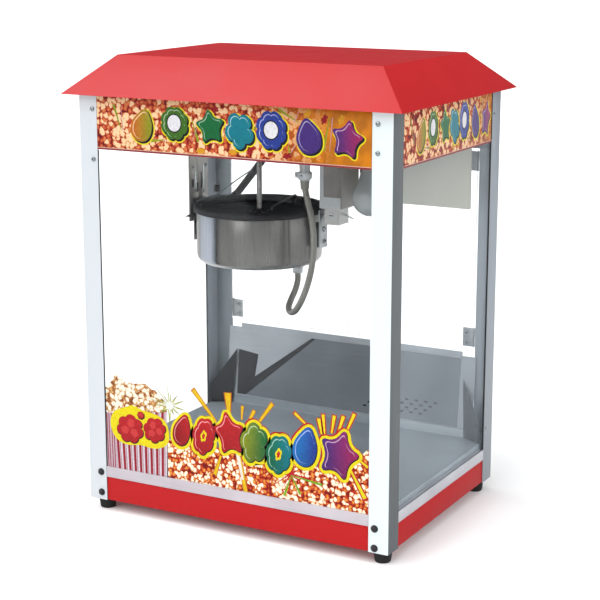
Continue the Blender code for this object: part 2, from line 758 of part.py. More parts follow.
def build_lids():
    """Two half lids that hinge up from a fixed cross bar, which also guides the stir shaft."""
    reach = math.sqrt((PAN_R - GAP) ** 2 - 0.0060**2) - 0.0002
    low = (KETTLE_X - reach, -0.0060, LID_TOP - 0.0030)
    bar = box("lid_bar", low, (KETTLE_X + reach, 0.0060, LID_TOP - GAP), "black_coat", PIVOT)
    collar = rod("lid_collar", (KETTLE_X, 0, LID_TOP - 0.0028), (KETTLE_X, 0, 0.5040), 0.0080, None)
    bore = rod("lid_bore", (KETTLE_X, 0, 0.49), (KETTLE_X, 0, 0.51), SHAFT_R + 0.0004, None)
    join(bar, collar)
    cut(bar, bore)
    radius = PAN_R - 0.0020
    start = math.degrees(math.asin(LID_HINGE_Y / radius))
    notch_start = math.degrees(math.asin(LID_HINGE_Y / LID_NOTCH_R))
    for name, side in (("lid_front", -1), ("lid_rear", 1)):
        rim = arc((0, 0), radius, start, 180 - start, 24)
        notch = arc((0, 0), LID_NOTCH_R, 180 - notch_start, notch_start, 6)
        outline = [(KETTLE_X + x, y * side) for x, y in rim + notch]
        lid = as_mesh(prism(name, outline, LID_TOP - LID_T, LID_TOP, "black_coat"))
        lid.location = (KETTLE_X, LID_HINGE_Y * side, LID_TOP)
        lid.data.transform(Matrix.Translation(-lid.location))


def build_handle():
    """Flat dump handle from the left bracket to the operator's side, with a knob on its end."""
    profile = bpy.data.curves.new("handle_section", "CURVE")
    spline = profile.splines.new("POLY")
    spline.points.add(3)
    for point, (u, v) in zip(spline.points, ((-1, -1), (1, -1), (1, 1), (-1, 1))):
        point.co = (u * HANDLE_T / 2, v * HANDLE_W / 2, 0, 1)
    spline.use_cyclic_u = True
    section = add("handle_section", profile, None)
    arm = tube("dump_handle", HANDLE, 0, "black_coat")
    arm.data.bevel_mode = "OBJECT"
    arm.data.bevel_object = section
    arm.data.twist_mode = "Z_UP"
    arm = as_mesh(arm)
    end = Vector(HANDLE[-1])
    way = (end - Vector(HANDLE[-2])).normalized()
    base = end + way * 0.0006
    profile = [(0.0065, 0.0), (0.0100, 0.004), (0.0125, 0.012), (0.0100, 0.020), (0.0055, 0.024)]
    shape = bmesh.new()
    rings = [circle_ring(shape, base + way * height, way, radius) for radius, height in profile]
    for lower, upper in zip(rings, rings[1:]):
        bmesh.ops.bridge_loops(shape, edges=ring_edges(lower) + ring_edges(upper))
    shape.faces.new(rings[0])
    shape.faces.new(rings[-1])
    bmesh.ops.recalc_face_normals(shape, faces=shape.faces)
    finish_mesh("dump_knob", shape, "black_plastic", PIVOT)


def circle_ring(shape, centre, way, radius, count=16):
    side = way.orthogonal().normalized()
    other = way.cross(side)
    turns = [math.tau * i / count for i in range(count)]
    points = [centre + side * radius * math.cos(t) + other * radius * math.sin(t) for t in turns]
    verts = [shape.verts.new(point) for point in points]
    for i in range(count):
        shape.edges.new((verts[i - 1], verts[i]))
    return verts


def ring_edges(verts):
    return list({edge for vert in verts for edge in vert.link_edges if edge.other_vert(vert) in verts})


def build_hangers():
    """Plates and box section that carry the kettle from the ceiling."""
    top = CEILING_Z - GAP
    left = box("hanger_left", (-0.1880, -0.0290, 0.4750), (-0.1855, 0.0290, top), "steel")
    foot = box("hanger_left_foot", (-0.2080, -0.0290, top - 0.0025), (-0.1870, 0.0290, top), None)
    hole = rod("hanger_left_hole", (-0.20, 0, PIVOT_Z), (-0.18, 0, PIVOT_Z), PIN_BORE_R, None)
    join(left, foot)
    cut(left, hole)
    right = box("hanger_right", (0.0637, -0.0295, 0.5180), (0.1035, 0.0340, top), "steel")
    hollow = box("hanger_right_hollow", (0.0652, -0.0280, 0.5195), (0.1020, 0.0325, 0.71), None)
    cut(right, hollow)
    block = box("pivot_block", *BLOCK, None)
    bore = rod("pivot_bore", (0.06, 0, PIVOT_Z), (BLOCK_BORE_END, 0, PIVOT_Z), PIN_BORE_R, None)
    join(right, block)
    cut(right, bore)


# Conduit that feeds the kettle


def smooth_route(points, per_stretch):
    """Catmull-Rom points through the route, evenly spread within each stretch."""
    route = [Vector(point) for point in points]
    ends = [route[0] * 2 - route[1], *route, route[-1] * 2 - route[-2]]
    out = []
    for i in range(len(route) - 1):
        a, b, c, d = ends[i : i + 4]
        for step in range(per_stretch):
            t = step / per_stretch
            pull = (c - a) * t + (a * 2 - b * 5 + c * 4 - d) * t**2 + (b * 3 - a - c * 3 + d) * t**3
            out.append(b + pull / 2)
    out.append(route[-1])
    return out


def build_conduit():
    top = CEILING_Z - GAP
    socket = [(0, top), (0.0140, top), (0.0140, 0.6600), (0.0110, 0.6560), (0.0110, 0.6300)]
    socket += [(0.0085, 0.5900), (0.0100, 0.5860), (0.0100, PLUG_BOTTOM + 0.002)]
    socket += [(0.0080, PLUG_BOTTOM), (0, PLUG_BOTTOM)]
    turned("ceiling_connector", socket, SOCKET_AT, "steel", steps=20, closed=False)
    tube("conduit", smooth_route(CONDUIT_ROUTE, 3), CONDUIT_R, "steel", resolution=2)
    high = DRUM_BOTTOM - GAP
    gland = [(0, high), (0.0110, high), (0.0110, high - 0.005), (0.0085, high - 0.007)]
    gland += [(0.0085, GLAND_BOTTOM), (0, GLAND_BOTTOM)]
    turned("kettle_gland", gland, GLAND_AT, "steel", PIVOT, steps=16, closed=False)


clear_scene()
parts = new_collection("popcorn_cart")
helpers = new_collection("cutters")
build_base()
build_feet()
build_posts()
build_glass()
build_channels()
build_signs()
build_roof()
build_ceiling()
build_floor()
build_sill()
build_guards()
build_fascia()
build_mains_gland()
build_switches()
build_switch_cover()
build_doors()
build_gearmotor()
build_drive()
build_lamp()
build_kettle_shell()
build_kettle_pan()
build_element()
build_ears()
build_stirrer()
build_lids()
build_handle()
build_hangers()
build_conduit()
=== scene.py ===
"""Looks of the popcorn cart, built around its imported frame."""

import json
import random
from math import cos, hypot, pi, radians, sin, sqrt, tau

import bmesh
import bpy
from mathutils import Matrix, Vector


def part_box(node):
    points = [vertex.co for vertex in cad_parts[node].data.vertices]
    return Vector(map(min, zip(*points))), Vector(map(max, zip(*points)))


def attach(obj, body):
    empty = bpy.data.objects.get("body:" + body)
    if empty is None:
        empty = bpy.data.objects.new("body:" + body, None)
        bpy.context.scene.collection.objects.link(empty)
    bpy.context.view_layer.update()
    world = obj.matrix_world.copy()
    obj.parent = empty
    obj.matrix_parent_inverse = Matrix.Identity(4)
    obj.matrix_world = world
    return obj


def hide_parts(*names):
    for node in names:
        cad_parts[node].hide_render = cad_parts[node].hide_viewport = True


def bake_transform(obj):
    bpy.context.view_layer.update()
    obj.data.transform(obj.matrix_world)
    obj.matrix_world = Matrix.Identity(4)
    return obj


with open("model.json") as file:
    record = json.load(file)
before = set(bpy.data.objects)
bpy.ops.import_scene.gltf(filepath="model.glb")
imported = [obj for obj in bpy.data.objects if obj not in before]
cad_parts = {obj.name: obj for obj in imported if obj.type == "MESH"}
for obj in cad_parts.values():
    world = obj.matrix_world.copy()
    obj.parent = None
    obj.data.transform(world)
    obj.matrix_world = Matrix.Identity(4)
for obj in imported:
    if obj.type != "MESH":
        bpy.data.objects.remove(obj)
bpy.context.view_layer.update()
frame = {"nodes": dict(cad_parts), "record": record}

scene = bpy.context.scene
ALONG_X = Matrix(((0, 0, 1), (1, 0, 0), (0, 1, 0))).to_4x4()


# Camera

camera = bpy.data.objects.new("camera", bpy.data.cameras.new("camera"))
scene.collection.objects.link(camera)
camera.data.lens = 96.8
camera.data.sensor_width = 36
camera.data.clip_start = 0.05
camera.data.clip_end = 200
camera.location = (1.272, -2.329, 0.962)
camera.rotation_euler = (pi / 2 - 0.226, 0, 0.496)
scene.camera = camera


# Material helpers


def srgb(*levels):
    """Linear colour of 0 to 255 display levels."""
    return tuple(
        (c / 255 / 12.92) if c <= 10 else ((c / 255 + 0.055) / 1.055) ** 2.4 for c in levels
    )


def times(colour, by):
    return tuple(min(1.0, c * by) for c in colour)


def node(tree, kind, inputs=None, **settings):
    """A shader node; an input is a number, a colour or another node's output."""
    made = tree.nodes.new("ShaderNode" + kind)
    for key, value in settings.items():
        setattr(made, key, value)
    for key, value in (inputs or {}).items():
        socket = made.inputs[key]
        if isinstance(value, bpy.types.NodeSocket):
            tree.links.new(value, socket)
        else:
            socket.default_value = (*value, 1) if socket.type == "RGBA" else value
    return made


def calc(tree, operation, *values):
    return node(tree, "Math", dict(enumerate(values)), operation=operation).outputs[0]


def mix(tree, factor, a, b, blend="MIX"):
    """Colour a run into colour b."""
    return node(tree, "Mix", {0: factor, 6: a, 7: b}, data_type="RGBA", blend_type=blend).outputs[2]


def ramp(tree, factor, stops):
    """Colour ramp output; stops are (position, colour)."""
    made = node(tree, "ValToRGB", {"Fac": factor})
    for i, (place, colour) in enumerate(stops):
        stop = made.color_ramp.elements[i] if i < 2 else made.color_ramp.elements.new(place)
        stop.position = place
        stop.color = (*colour, 1)
    return made.outputs["Color"]


def remap(tree, factor, low, high, start=0.3, end=0.7):
    """Factor remapped from start..end to low..high."""
    ends = {"From Min": start, "From Max": end, "To Min": low, "To Max": high}
    return node(tree, "MapRange", {"Value": factor, **ends}).outputs["Result"]


def share(tree, factor, start=0.3, end=0.7):
    """Factor remapped from start..end to 0..1."""
    return remap(tree, factor, 0.0, 1.0, start, end)


def axis(tree, i, kind="Object"):
    """One axis of the mesh's own coordinates, or of its "Normal"."""
    return node(tree, "SeparateXYZ", {"Vector": node(tree, "TexCoord").outputs[kind]}).outputs[i]


def surface(name, colour, roughness, metallic=0.0, **constants):
    """A Principled material. Returns it, its tree and its shader."""
    made = bpy.data.materials.new(name)
    made.use_nodes = True
    shader = made.node_tree.nodes["Principled BSDF"]
    constants |= {"Base_Color": (*colour, 1), "Roughness": roughness, "Metallic": metallic}
    for key, value in constants.items():
        shader.inputs[key.replace("_", " ")].default_value = value
    return made, made.node_tree, shader


def feed(shader, **outputs):
    """Links node outputs to the shader's inputs of those names."""
    for key, output in outputs.items():
        shader.id_data.links.new(output, shader.inputs[key.replace("_", " ")])


def noise(tree, scale, stretch=(1, 1, 1), detail=3.0, roughness=0.55):
    where = node(tree, "TexCoord").outputs["Object"]
    place = node(tree, "Mapping", {"Vector": where, "Scale": stretch}).outputs["Vector"]
    settings = {"Vector": place, "Scale": scale, "Detail": detail, "Roughness": roughness}
    return node(tree, "TexNoise", settings).outputs["Fac"]


def bumped(tree, shader, height, strength, distance=0.0002):
    bump = node(tree, "Bump", {"Height": height, "Strength": strength, "Distance": distance})
    feed(shader, Normal=bump.outputs["Normal"])


def painted(name, colour, roughness, peel=0.05, coat=0.0, level=0.25):
    """Powder-coated sheet: orange peel, slightly uneven gloss."""
    made, tree, shader = surface(
        name, colour, roughness, Coat_Weight=coat, Coat_Roughness=0.2, Specular_IOR_Level=level
    )
    cloud = noise(tree, 9)
    feed(shader, Roughness=remap(tree, cloud, roughness * 0.88, roughness * 1.15))
    feed(shader, Base_Color=mix(tree, cloud, times(colour, 0.93), colour))
    bumped(tree, shader, noise(tree, 900, detail=1.5), peel)
    return made


def brushed(name, colour, roughness, stretch, metallic=1.0, spread=0.1, grain=0.05):
    """Metal with a fine directional grain: stretch is small along the grain."""
    made, tree, shader = surface(name, colour, roughness, metallic)
    lines = noise(tree, 1.0, stretch, detail=4, roughness=0.7)
    both = calc(tree, "ADD", lines, noise(tree, 14, detail=2))
    feed(shader, Roughness=remap(tree, lines, roughness - spread, roughness + spread))
    dull, clean = times(colour, 0.86), times(colour, 1.08)
    feed(shader, Base_Color=mix(tree, share(tree, both, 0.75, 1.25), dull, clean))
    bumped(tree, shader, lines, grain)
    return made


def plastic(name, colour, roughness, level=0.4):
    made, tree, shader = surface(name, colour, roughness, Specular_IOR_Level=level)
    cloud = noise(tree, 30)
    feed(shader, Roughness=remap(tree, cloud, roughness * 0.85, roughness * 1.2))
    feed(shader, Base_Color=mix(tree, cloud, times(colour, 0.85), colour))
    bumped(tree, shader, noise(tree, 1400, detail=1), 0.08, 0.0001)
    return made


BORDER = 0.0018
BORDER_STRENGTH = 0.55


def clear(name, colour, edge, alpha, roughness=0.0, axes=(1, 1), transmission=1.0, inside=None):
    """Clear sheet whose thin edges show the tint: axes weigh |normal X| and |normal Y|, the faces' own
    directions. inside is (least |x|, most |x|, least z, most z); the polished border lies beyond them."""
    made, tree, shader = surface(name, colour, roughness, Transmission_Weight=transmission, IOR=1.46)
    leans = [calc(tree, "ABSOLUTE", axis(tree, i, "Normal")) for i in (0, 1)]
    leans = [calc(tree, "MULTIPLY", lean, weight) for lean, weight in zip(leans, axes)]
    is_edge = calc(tree, "LESS_THAN", calc(tree, "MAXIMUM", *leans), 0.6)
    if inside:
        side = calc(tree, "ABSOLUTE", axis(tree, 0))
        for value, low, high in ((side, *inside[:2]), (axis(tree, 2), *inside[2:])):
            for operation, limit in (("LESS_THAN", low), ("GREATER_THAN", high)):
                lit = calc(tree, "MULTIPLY", calc(tree, operation, value, limit), BORDER_STRENGTH)
                is_edge = calc(tree, "MAXIMUM", is_edge, lit)
    film = remap(tree, noise(tree, 6, detail=2), alpha * 0.85, alpha * 1.15)
    feed(shader, Base_Color=mix(tree, is_edge, colour, edge))
    feed(shader, Alpha=remap(tree, is_edge, film, 0.85, 0.0, 1.0))
    return made


def popcorn(name, cell, tones, seed, shade, fade=None):
    """Printed popcorn: pale lumps with golden rims on dark gaps. tones are dark, mid, gold, pale.
    fade is (axis, start, end, colour), a colour that the print runs into along one axis."""
    made, tree, shader = surface(name, tones[1], 0.45, Specular_IOR_Level=0.15)
    dark, mid, gold, pale = tones
    where = node(tree, "TexCoord").outputs["Object"]
    shift = {"Vector": where, "Location": (seed, seed * 0.7, seed * 1.3)}
    moved = node(tree, "Mapping", shift).outputs["Vector"]
    wobble = node(tree, "TexNoise", {"Vector": moved, "Scale": 0.9 / cell, "Detail": 3.0}).outputs["Color"]
    pushed = mix(tree, cell * 0.9, moved, wobble, "ADD")
    big = node(tree, "TexVoronoi", {"Vector": pushed, "Scale": 1 / cell, "Randomness": 0.9}, feature="F1")
    small = node(tree, "TexVoronoi", {"Vector": pushed, "Scale": 2.3 / cell}, feature="F1")
    depth = calc(tree, "MULTIPLY", small.outputs["Distance"], 0.3)
    total = calc(tree, "ADD", big.outputs["Distance"], depth)
    lumps = ramp(tree, total, [(0.0, pale), (0.64, pale), (0.76, gold), (0.86, mid), (0.98, dark)])
    toned = ramp(tree, total, [(0.35, gold), (0.7, mid), (0.92, dark)])
    split = node(tree, "SeparateColor", {"Color": big.outputs["Color"]})
    colour = mix(tree, calc(tree, "LESS_THAN", split.outputs[0], shade), lumps, toned)
    if fade:
        along, start, end, last = fade
        far = calc(tree, "SUBTRACT", axis(tree, along), calc(tree, "MULTIPLY", total, 0.05))
        streak = node(tree, "TexNoise", {"Vector": moved, "Scale": 45.0, "Detail": 1.0}).outputs["Fac"]
        flat = mix(tree, share(tree, streak, 0.4, 0.6), last, times(last, 0.72))
        colour = mix(tree, share(tree, far, start, end), colour, flat)
    feed(shader, Base_Color=colour)
    return made


def posted(name, front, side):
    """Anodised corner post: its leaf along the cabinet's side, facing along X, gets the darker colour, a
    painted shade.
    """
    made, tree, shader = surface(name, front, 0.45, 0.3, Specular_IOR_Level=0.25)
    lines = noise(tree, 1.0, (900, 900, 6), detail=4, roughness=0.7)
    # painted shade: faces that point along X run into the darker side colour
    lean = calc(tree, "ABSOLUTE", axis(tree, 0, "Normal"))
    leaf_with_painted_shade = mix(tree, share(tree, lean, 0.55, 0.85), front, side)
    grain = mix(tree, share(tree, lines), leaf_with_painted_shade, times(front, 1.06))
    feed(shader, Base_Color=mix(tree, 0.12, leaf_with_painted_shade, grain))
    feed(shader, Roughness=remap(tree, lines, 0.4, 0.5))
    bumped(tree, shader, lines, 0.02)
    return made


KETTLE_X = -0.066
DIM_REFLECTION, BRIGHT_REFLECTION = (0.30, 0.33, 0.38), (0.44, 0.47, 0.54)
# Degrees round the drum, each with a colour or the level of a warm grey: painted reflection bands
DRUM_REFLECTIONS = [(-155, 0.10), (-131, 0.13), (-126, DIM_REFLECTION), (-110, BRIGHT_REFLECTION), (-105, DIM_REFLECTION)]
DRUM_REFLECTIONS += [(-102.5, 0.06), (-98, 0.16), (-88, 0.13), (-76, 0.17), (-60, 0.16), (-42, 0.17), (-38, 0.09)]
DRUM_REFLECTIONS += [(-34.5, 0.13), (-33, 0.04), (-31.5, 0.15), (-12, 0.16), (2, 0.30), (40, 0.16), (120, 0.22)]


def drummed(name):
    """Kettle wall: upright grain, a rolled seam and painted reflection bands round the drum, with a painted
    highlight along its foot.
    """
    made, tree, shader = surface(name, (0.16, 0.16, 0.15), 0.3, 0.85)
    across = calc(tree, "SUBTRACT", axis(tree, 0), KETTLE_X)
    turn = share(tree, calc(tree, "ARCTAN2", axis(tree, 1), across), -pi, pi)
    lines = noise(tree, 1.0, (420, 420, 5), detail=5, roughness=0.75)
    cloud = noise(tree, 1.0, (26, 26, 4), detail=2)
    stops = [(deg, c if isinstance(c, tuple) else (c, c * 0.99, c * 0.95)) for deg, c in DRUM_REFLECTIONS]
    reflection_bands = ramp(tree, turn, [((deg + 180) / 360, colour) for deg, colour in stops])
    grain = mix(tree, share(tree, lines, 0.25, 0.75), (0.72,) * 3, (1.0,) * 3)
    blotch = mix(tree, share(tree, cloud), (0.86,) * 3, (1.0,) * 3)
    wall = mix(tree, 1.0, reflection_bands, mix(tree, 1.0, grain, blotch, "MULTIPLY"), "MULTIPLY")
    # painted highlight: below z 0.4245 the wall runs into a pale grey
    foot = remap(tree, axis(tree, 2), 1.0, 0.0, 0.4205, 0.4245)
    feed(shader, Base_Color=mix(tree, foot, wall, (0.42, 0.42, 0.41)))
    feed(shader, Roughness=remap(tree, lines, 0.24, 0.38))
    bumped(tree, shader, lines, 0.06)
    return made


# Stretch of a grain that runs along one axis, for brushed()
ACROSS, DEEP, UPRIGHT = (5, 800, 800), (800, 5, 800), (800, 800, 5)
# Darker upright steel of the right hanger and the left ear
DARK_UPRIGHT_STEEL = ((0.135, 0.130, 0.124), 0.42, UPRIGHT, 0.6)
BLOCK_TOP = (0.5192, 0.52)


def hung(name):
    """Hanger steel, with the pivot block at its foot zinc plated."""
    made = brushed(name, *DARK_UPRIGHT_STEEL)
    tree = made.node_tree
    shader = tree.nodes["Principled BSDF"]
    steel = shader.inputs["Base Color"].links[0].from_socket
    block = remap(tree, axis(tree, 2), 1.0, 0.0, *BLOCK_TOP)
    feed(shader, Base_Color=mix(tree, block, steel, (0.30, 0.31, 0.30)))
    return made


def vertex_paint(name):
    """Printed flat colours, held in the mesh as the attribute "ink", with a faint print grain."""
    made, tree, shader = surface(name, (0.5, 0.5, 0.5), 0.3, Specular_IOR_Level=0.15)
    ink = node(tree, "Attribute", attribute_name="ink").outputs["Color"]
    darker = mix(tree, 1.0, ink, (0.72,) * 3, "MULTIPLY")
    feed(shader, Base_Color=mix(tree, share(tree, noise(tree, 260, detail=3), 0.2, 0.6), darker, ink))
    return made


def opal(name):
    constants = {"Transmission_Weight": 0.25, "IOR": 1.45, "Coat_Weight": 0.4}
    made, tree, shader = surface(name, (0.5, 0.5, 0.5), 0.25, **constants)
    feed(shader, Base_Color=mix(tree, noise(tree, 25), (0.235, 0.26, 0.265), (0.30, 0.325, 0.33)))
    return made


# Materials

door_low, door_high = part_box("door_right")
DOOR_INSIDE = (door_low.x + BORDER, door_high.x - BORDER, door_low.z + BORDER, door_high.z - BORDER)
# Side-leaf colour of the rear posts, a painted shade
REAR_LEAF_SHADE = (0.215, 0.235, 0.26)
PANE_EDGE = (0.30, 0.38, 0.37)

MATERIALS = {
    "red": painted("red_powder_coat", (0.345, 0.008, 0.0095), 0.5, 0.04, 0.03, 0.1),
    "red_roof": painted("red_roof_coat", (0.365, 0.011, 0.0125), 0.46, 0.04, 0.06, 0.2),
    "beige": painted("beige_enamel", (0.435, 0.43, 0.35), 0.5, 0.03),
    "porcelain": painted("glazed_porcelain", (0.62, 0.60, 0.56), 0.25, 0.01, 0.4),
    "trim_red": painted("sign_edge_red", (0.16, 0.012, 0.02), 0.4),
    "trim_pale": painted("sign_edge_pale", (0.50, 0.30, 0.22), 0.4),
    # painted light and shade: one aluminium in lighter and darker copies, left and right, front and rear
    "alu_left": posted("satin_aluminium_left", (0.455, 0.48, 0.505), (0.075, 0.083, 0.09)),
    "alu_right": posted("satin_aluminium_right", (0.54, 0.595, 0.61), (0.052, 0.058, 0.063)),
    "alu_rear_left": posted("rear_aluminium_left", (0.185, 0.215, 0.235), REAR_LEAF_SHADE),
    "alu_rear_right": posted("rear_aluminium_right", (0.30, 0.33, 0.36), REAR_LEAF_SHADE),
    "alu_x": brushed("satin_aluminium_strip", (0.40, 0.365, 0.395), 0.5, (5, 900, 900), 0.3, 0.05, 0.02),
    "alu_y": brushed("satin_aluminium_side_strip", (0.42, 0.42, 0.45), 0.5, (900, 5, 900), 0.3, 0.05, 0.02),
    "steel_x": brushed("brushed_steel_across", (0.130, 0.150, 0.167), 0.5, ACROSS, 0.3),
    "steel_y": brushed("brushed_steel_deep", (0.225, 0.26, 0.285), 0.5, DEEP, 0.4),
    "steel_z": brushed("brushed_steel_upright", *DARK_UPRIGHT_STEEL),
    "steel_sill": brushed("sill_steel", (0.30, 0.33, 0.355), 0.46, ACROSS, 0.4),
    # painted light: the left hanger gets a lighter copy of the hanger steel
    "steel_painted_lit": brushed("hanger_steel_left", (0.22, 0.215, 0.20), 0.36, UPRIGHT, 0.7),
    "pale_steel": brushed("pressed_pale_steel", (0.30, 0.32, 0.33), 0.42, (300, 300, 60), 0.6),
    "dark_steel": brushed("guard_steel", (0.016, 0.018, 0.021), 0.62, (600, 600, 6), 0.15),
    "hanger": hung("hanger_steel_right"),
    "drum": drummed("spun_kettle_steel"),
    "bright": brushed("bright_steel", (0.24, 0.24, 0.235), 0.3, (300, 300, 300), 0.8, 0.06),
    "chrome": brushed("plated_screws", (0.24, 0.27, 0.28), 0.16, (300, 300, 300), 1.0, 0.04),
    "zinc": brushed("zinc_plate", (0.33, 0.35, 0.36), 0.36, (200, 200, 200), 0.6, 0.08),
    "conduit": brushed("conduit_strip", (0.140, 0.140, 0.127), 0.4, (250, 250, 250), 0.6, 0.08, 0.1),
    "motor": brushed("cast_motor", (0.22, 0.23, 0.24), 0.5, (90, 90, 90), 0.6, grain=0.2),
    "slot": plastic("slot_shadow", (0.010, 0.011, 0.012), 0.7, 0.1),
    "black": plastic("black_coating", (0.016, 0.016, 0.018), 0.62, 0.12),
    "black_plastic": plastic("moulded_black", (0.012, 0.012, 0.013), 0.42, 0.25),
    "rubber": plastic("foot_rubber", (0.012, 0.012, 0.012), 0.7, 0.2),
    "rocker": plastic("rocker_red", srgb(170, 14, 18), 0.25),
    "glass": clear("pane_glass", (0.92, 0.96, 0.95), PANE_EDGE, 0.014),
    "glass_side": clear("side_pane_glass", (0.76, 0.87, 0.97), PANE_EDGE, 0.06, 0.1, transmission=0.0),
    "acrylic": clear(
        "door_acrylic", (0.90, 0.93, 0.94), (0.10, 0.12, 0.13), 0.04, 0.02, (0, 1), inside=DOOR_INSIDE
    ),
    "opal": opal("opal_glass"),
    "ink": vertex_paint("printed_ink"),
}


def printed(*levels):
    """Ink that looks like those display levels in this studio's light."""
    return times(srgb(*levels), 0.66)


# Tones of a popcorn print: dark, mid, gold, pale
SIGN_TONES = (printed(96, 12, 10), printed(178, 46, 26), printed(214, 128, 70), printed(244, 206, 160))
PILE_TONES = (printed(110, 10, 6), printed(186, 44, 20), printed(232, 156, 62), printed(252, 240, 218))
HEAP_TONES = (printed(120, 66, 36), printed(182, 116, 66), printed(216, 174, 112), printed(240, 234, 218))
SIGN_ORANGE = printed(206, 122, 8)
MATERIALS |= {
    "sign_front": popcorn("popcorn_print", 0.008, SIGN_TONES, 3.1, 0.38, (0, 0.02, 0.15, SIGN_ORANGE)),
    "sign_right": popcorn("popcorn_print_right", 0.0072, SIGN_TONES, 2.3, 0.38, (1, 0.05, 0.16, SIGN_ORANGE)),
    "sign_left": popcorn("popcorn_print_left", 0.0072, SIGN_TONES, 4.6, 0.38),
    "popcorn_pile": popcorn("popcorn_pile_print", 0.0066, PILE_TONES, 1.7, 0.4),
    "popcorn_heap": popcorn("popcorn_heap_print", 0.007, HEAP_TONES, 5.2, 0.3),
}


# Mesh helpers


def facing(at, way):
    """The matrix that puts a shape made along +Z at a point, pointing that way."""
    turn = Vector(way).to_track_quat("Z", "Y").to_matrix().to_4x4()
    return Matrix.Translation(Vector(at)) @ turn


def polar(radius, turn, centre=(0.0, 0.0)):
    return (centre[0] + radius * cos(turn), centre[1] + radius * sin(turn))


def arc(centre, radius, start_deg, end_deg, count):
    steps = [start_deg + (end_deg - start_deg) * i / count for i in range(count + 1)]
    return [polar(radius, radians(step), centre) for step in steps]


class Shape:
    """Closed solids gathered in one mesh, in the row frame."""

    def __init__(self):
        self.bm = bmesh.new()

    def _take(self, points, faces, matrix=None):
        verts = [self.bm.verts.new((matrix or Matrix.Identity(4)) @ Vector(p)) for p in points]
        for face in faces:
            self.bm.faces.new([verts[i] for i in face])
        return self

    def box(self, low, high):
        xs, ys, zs = zip(low, high)
        points = [(x, y, z) for x in xs for y in ys for z in zs]
        faces = [(0, 1, 3, 2), (4, 6, 7, 5), (0, 4, 5, 1), (2, 3, 7, 6), (0, 2, 6, 4), (1, 5, 7, 3)]
        return self._take(points, faces)

    def prism(self, outline, start, end, matrix=None):
        n = len(outline)
        points = [(u, v, w) for w in (start, end) for u, v in outline]
        sides = [(i, (i + 1) % n, n + (i + 1) % n, n + i) for i in range(n)]
        return self._take(points, [tuple(range(n))[::-1], tuple(range(n, 2 * n)), *sides], matrix)

    def lathe(self, profile, matrix, steps):
        """Profile of (radius, height), from one point on the axis to another, or a ring off the axis."""
        points, rings = [], []
        for radius, height in profile:
            if radius < 1e-9:
                rings.append([len(points)] * steps)
                points.append((0, 0, height))
                continue
            rings.append(range(len(points), len(points) + steps))
            points += [(*polar(radius, tau * i / steps), height) for i in range(steps)]
        pairs = list(zip(rings, rings[1:]))
        if profile[0][0] > 1e-9:
            pairs.append((rings[-1], rings[0]))
        faces = []
        for a, b in pairs:
            for i in range(steps):
                j = (i + 1) % steps
                face = list(dict.fromkeys((a[i], a[j], b[j], b[i])))
                if len(face) > 2:
                    faces.append(face)
        return self._take(points, faces, matrix)

    def rod(self, start, end, radius, steps, chamfer=0.0003):
        way = Vector(end) - Vector(start)
        profile = [(0, 0), (radius - chamfer, 0), (radius, chamfer)]
        profile += [(r, way.length - z) for r, z in profile[::-1]]
        return self.lathe(profile, facing(start, way), steps)

    def sweep(self, points, section):
        """A section, fixed or a function of distance, carried along the points without twist."""
        line = [Vector(p) for p in points]
        ahead, behind = line[1:] + line[-1:], line[:1] + line[:-1]
        ways = [(b - a).normalized() for a, b in zip(behind, ahead)]
        side = ways[0].orthogonal().normalized()
        verts, faces, along = [], [], 0.0
        for i, (at, way) in enumerate(zip(line, ways)):
            along += (at - line[i - 1]).length if i else 0.0
            side = (side - way * side.dot(way)).normalized()
            other = way.cross(side)
            ring = section(along) if callable(section) else section
            verts += [at + side * u + other * v for u, v in ring]
        n = len(ring)
        for first in range(0, len(verts) - n, n):
            quads = [(first + k, first + (k + 1) % n) for k in range(n)]
            faces += [(p, q, q + n, p + n) for p, q in quads]
        faces += [tuple(range(n))[::-1], tuple(range(len(verts) - n, len(verts)))]
        return self._take(verts, faces)

    def copies(self, other, matrices):
        """Another shape's mesh at each of these matrices."""
        points = [v.co.copy() for v in other.bm.verts]
        other.bm.verts.index_update()
        faces = [[v.index for v in f.verts] for f in other.bm.faces]
        for matrix in matrices:
            self._take(points, faces, matrix)
        return self

    def into(self, mesh):
        bmesh.ops.recalc_face_normals(self.bm, faces=self.bm.faces)
        self.bm.to_mesh(mesh)
        self.bm.free()

    def piece(self, name, material, slot, body="root", replaces=(), bevel=0.0, limit=35.0):
        mesh = bpy.data.meshes.new(name)
        self.into(mesh)
        return dressed(name, mesh, material, body, replaces, bevel, 2, limit)


def dressed(name, mesh, material, body, replaces, bevel, segments, limit):
    """The object of a mesh, with its material, edges and body."""
    obj = bpy.data.objects.new(name, mesh)
    scene.collection.objects.link(obj)
    mesh.materials.append(MATERIALS[material])
    mesh.shade_smooth()
    if bevel:
        soft = obj.modifiers.new("edges", "BEVEL")
        soft.width = bevel
        soft.segments = segments
        soft.limit_method = "ANGLE"
        soft.angle_limit = radians(limit)
        soft.harden_normals = True
        soft.use_clamp_overlap = True
    else:
        mesh.set_sharp_from_angle(angle=radians(limit))
    if replaces:
        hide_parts(*replaces)
    if body is not None:
        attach(obj, body)
    return obj


BODY_OF = {n: b for b, members in frame["record"]["behaviour"]["bodies"].items() for n in members}


def remade(cad, material, bevel, segments=2, limit=35.0):
    """The CAD node's own form with its edges rounded, in its place."""
    shape = bmesh.new()
    shape.from_mesh(frame["nodes"][cad].data)
    bmesh.ops.remove_doubles(shape, verts=shape.verts, dist=4e-6)
    bmesh.ops.dissolve_limit(shape, angle_limit=radians(0.6), verts=shape.verts, edges=shape.edges)
    bmesh.ops.recalc_face_normals(shape, faces=shape.faces)
    name = cad + "_finished"
    mesh = bpy.data.meshes.new(name)
    shape.to_mesh(mesh)
    shape.free()
    return dressed(name, mesh, material, BODY_OF[cad], (cad,), bevel, segments, limit)


# Conduit: interlocked spiral strip from the ceiling connector to the kettle

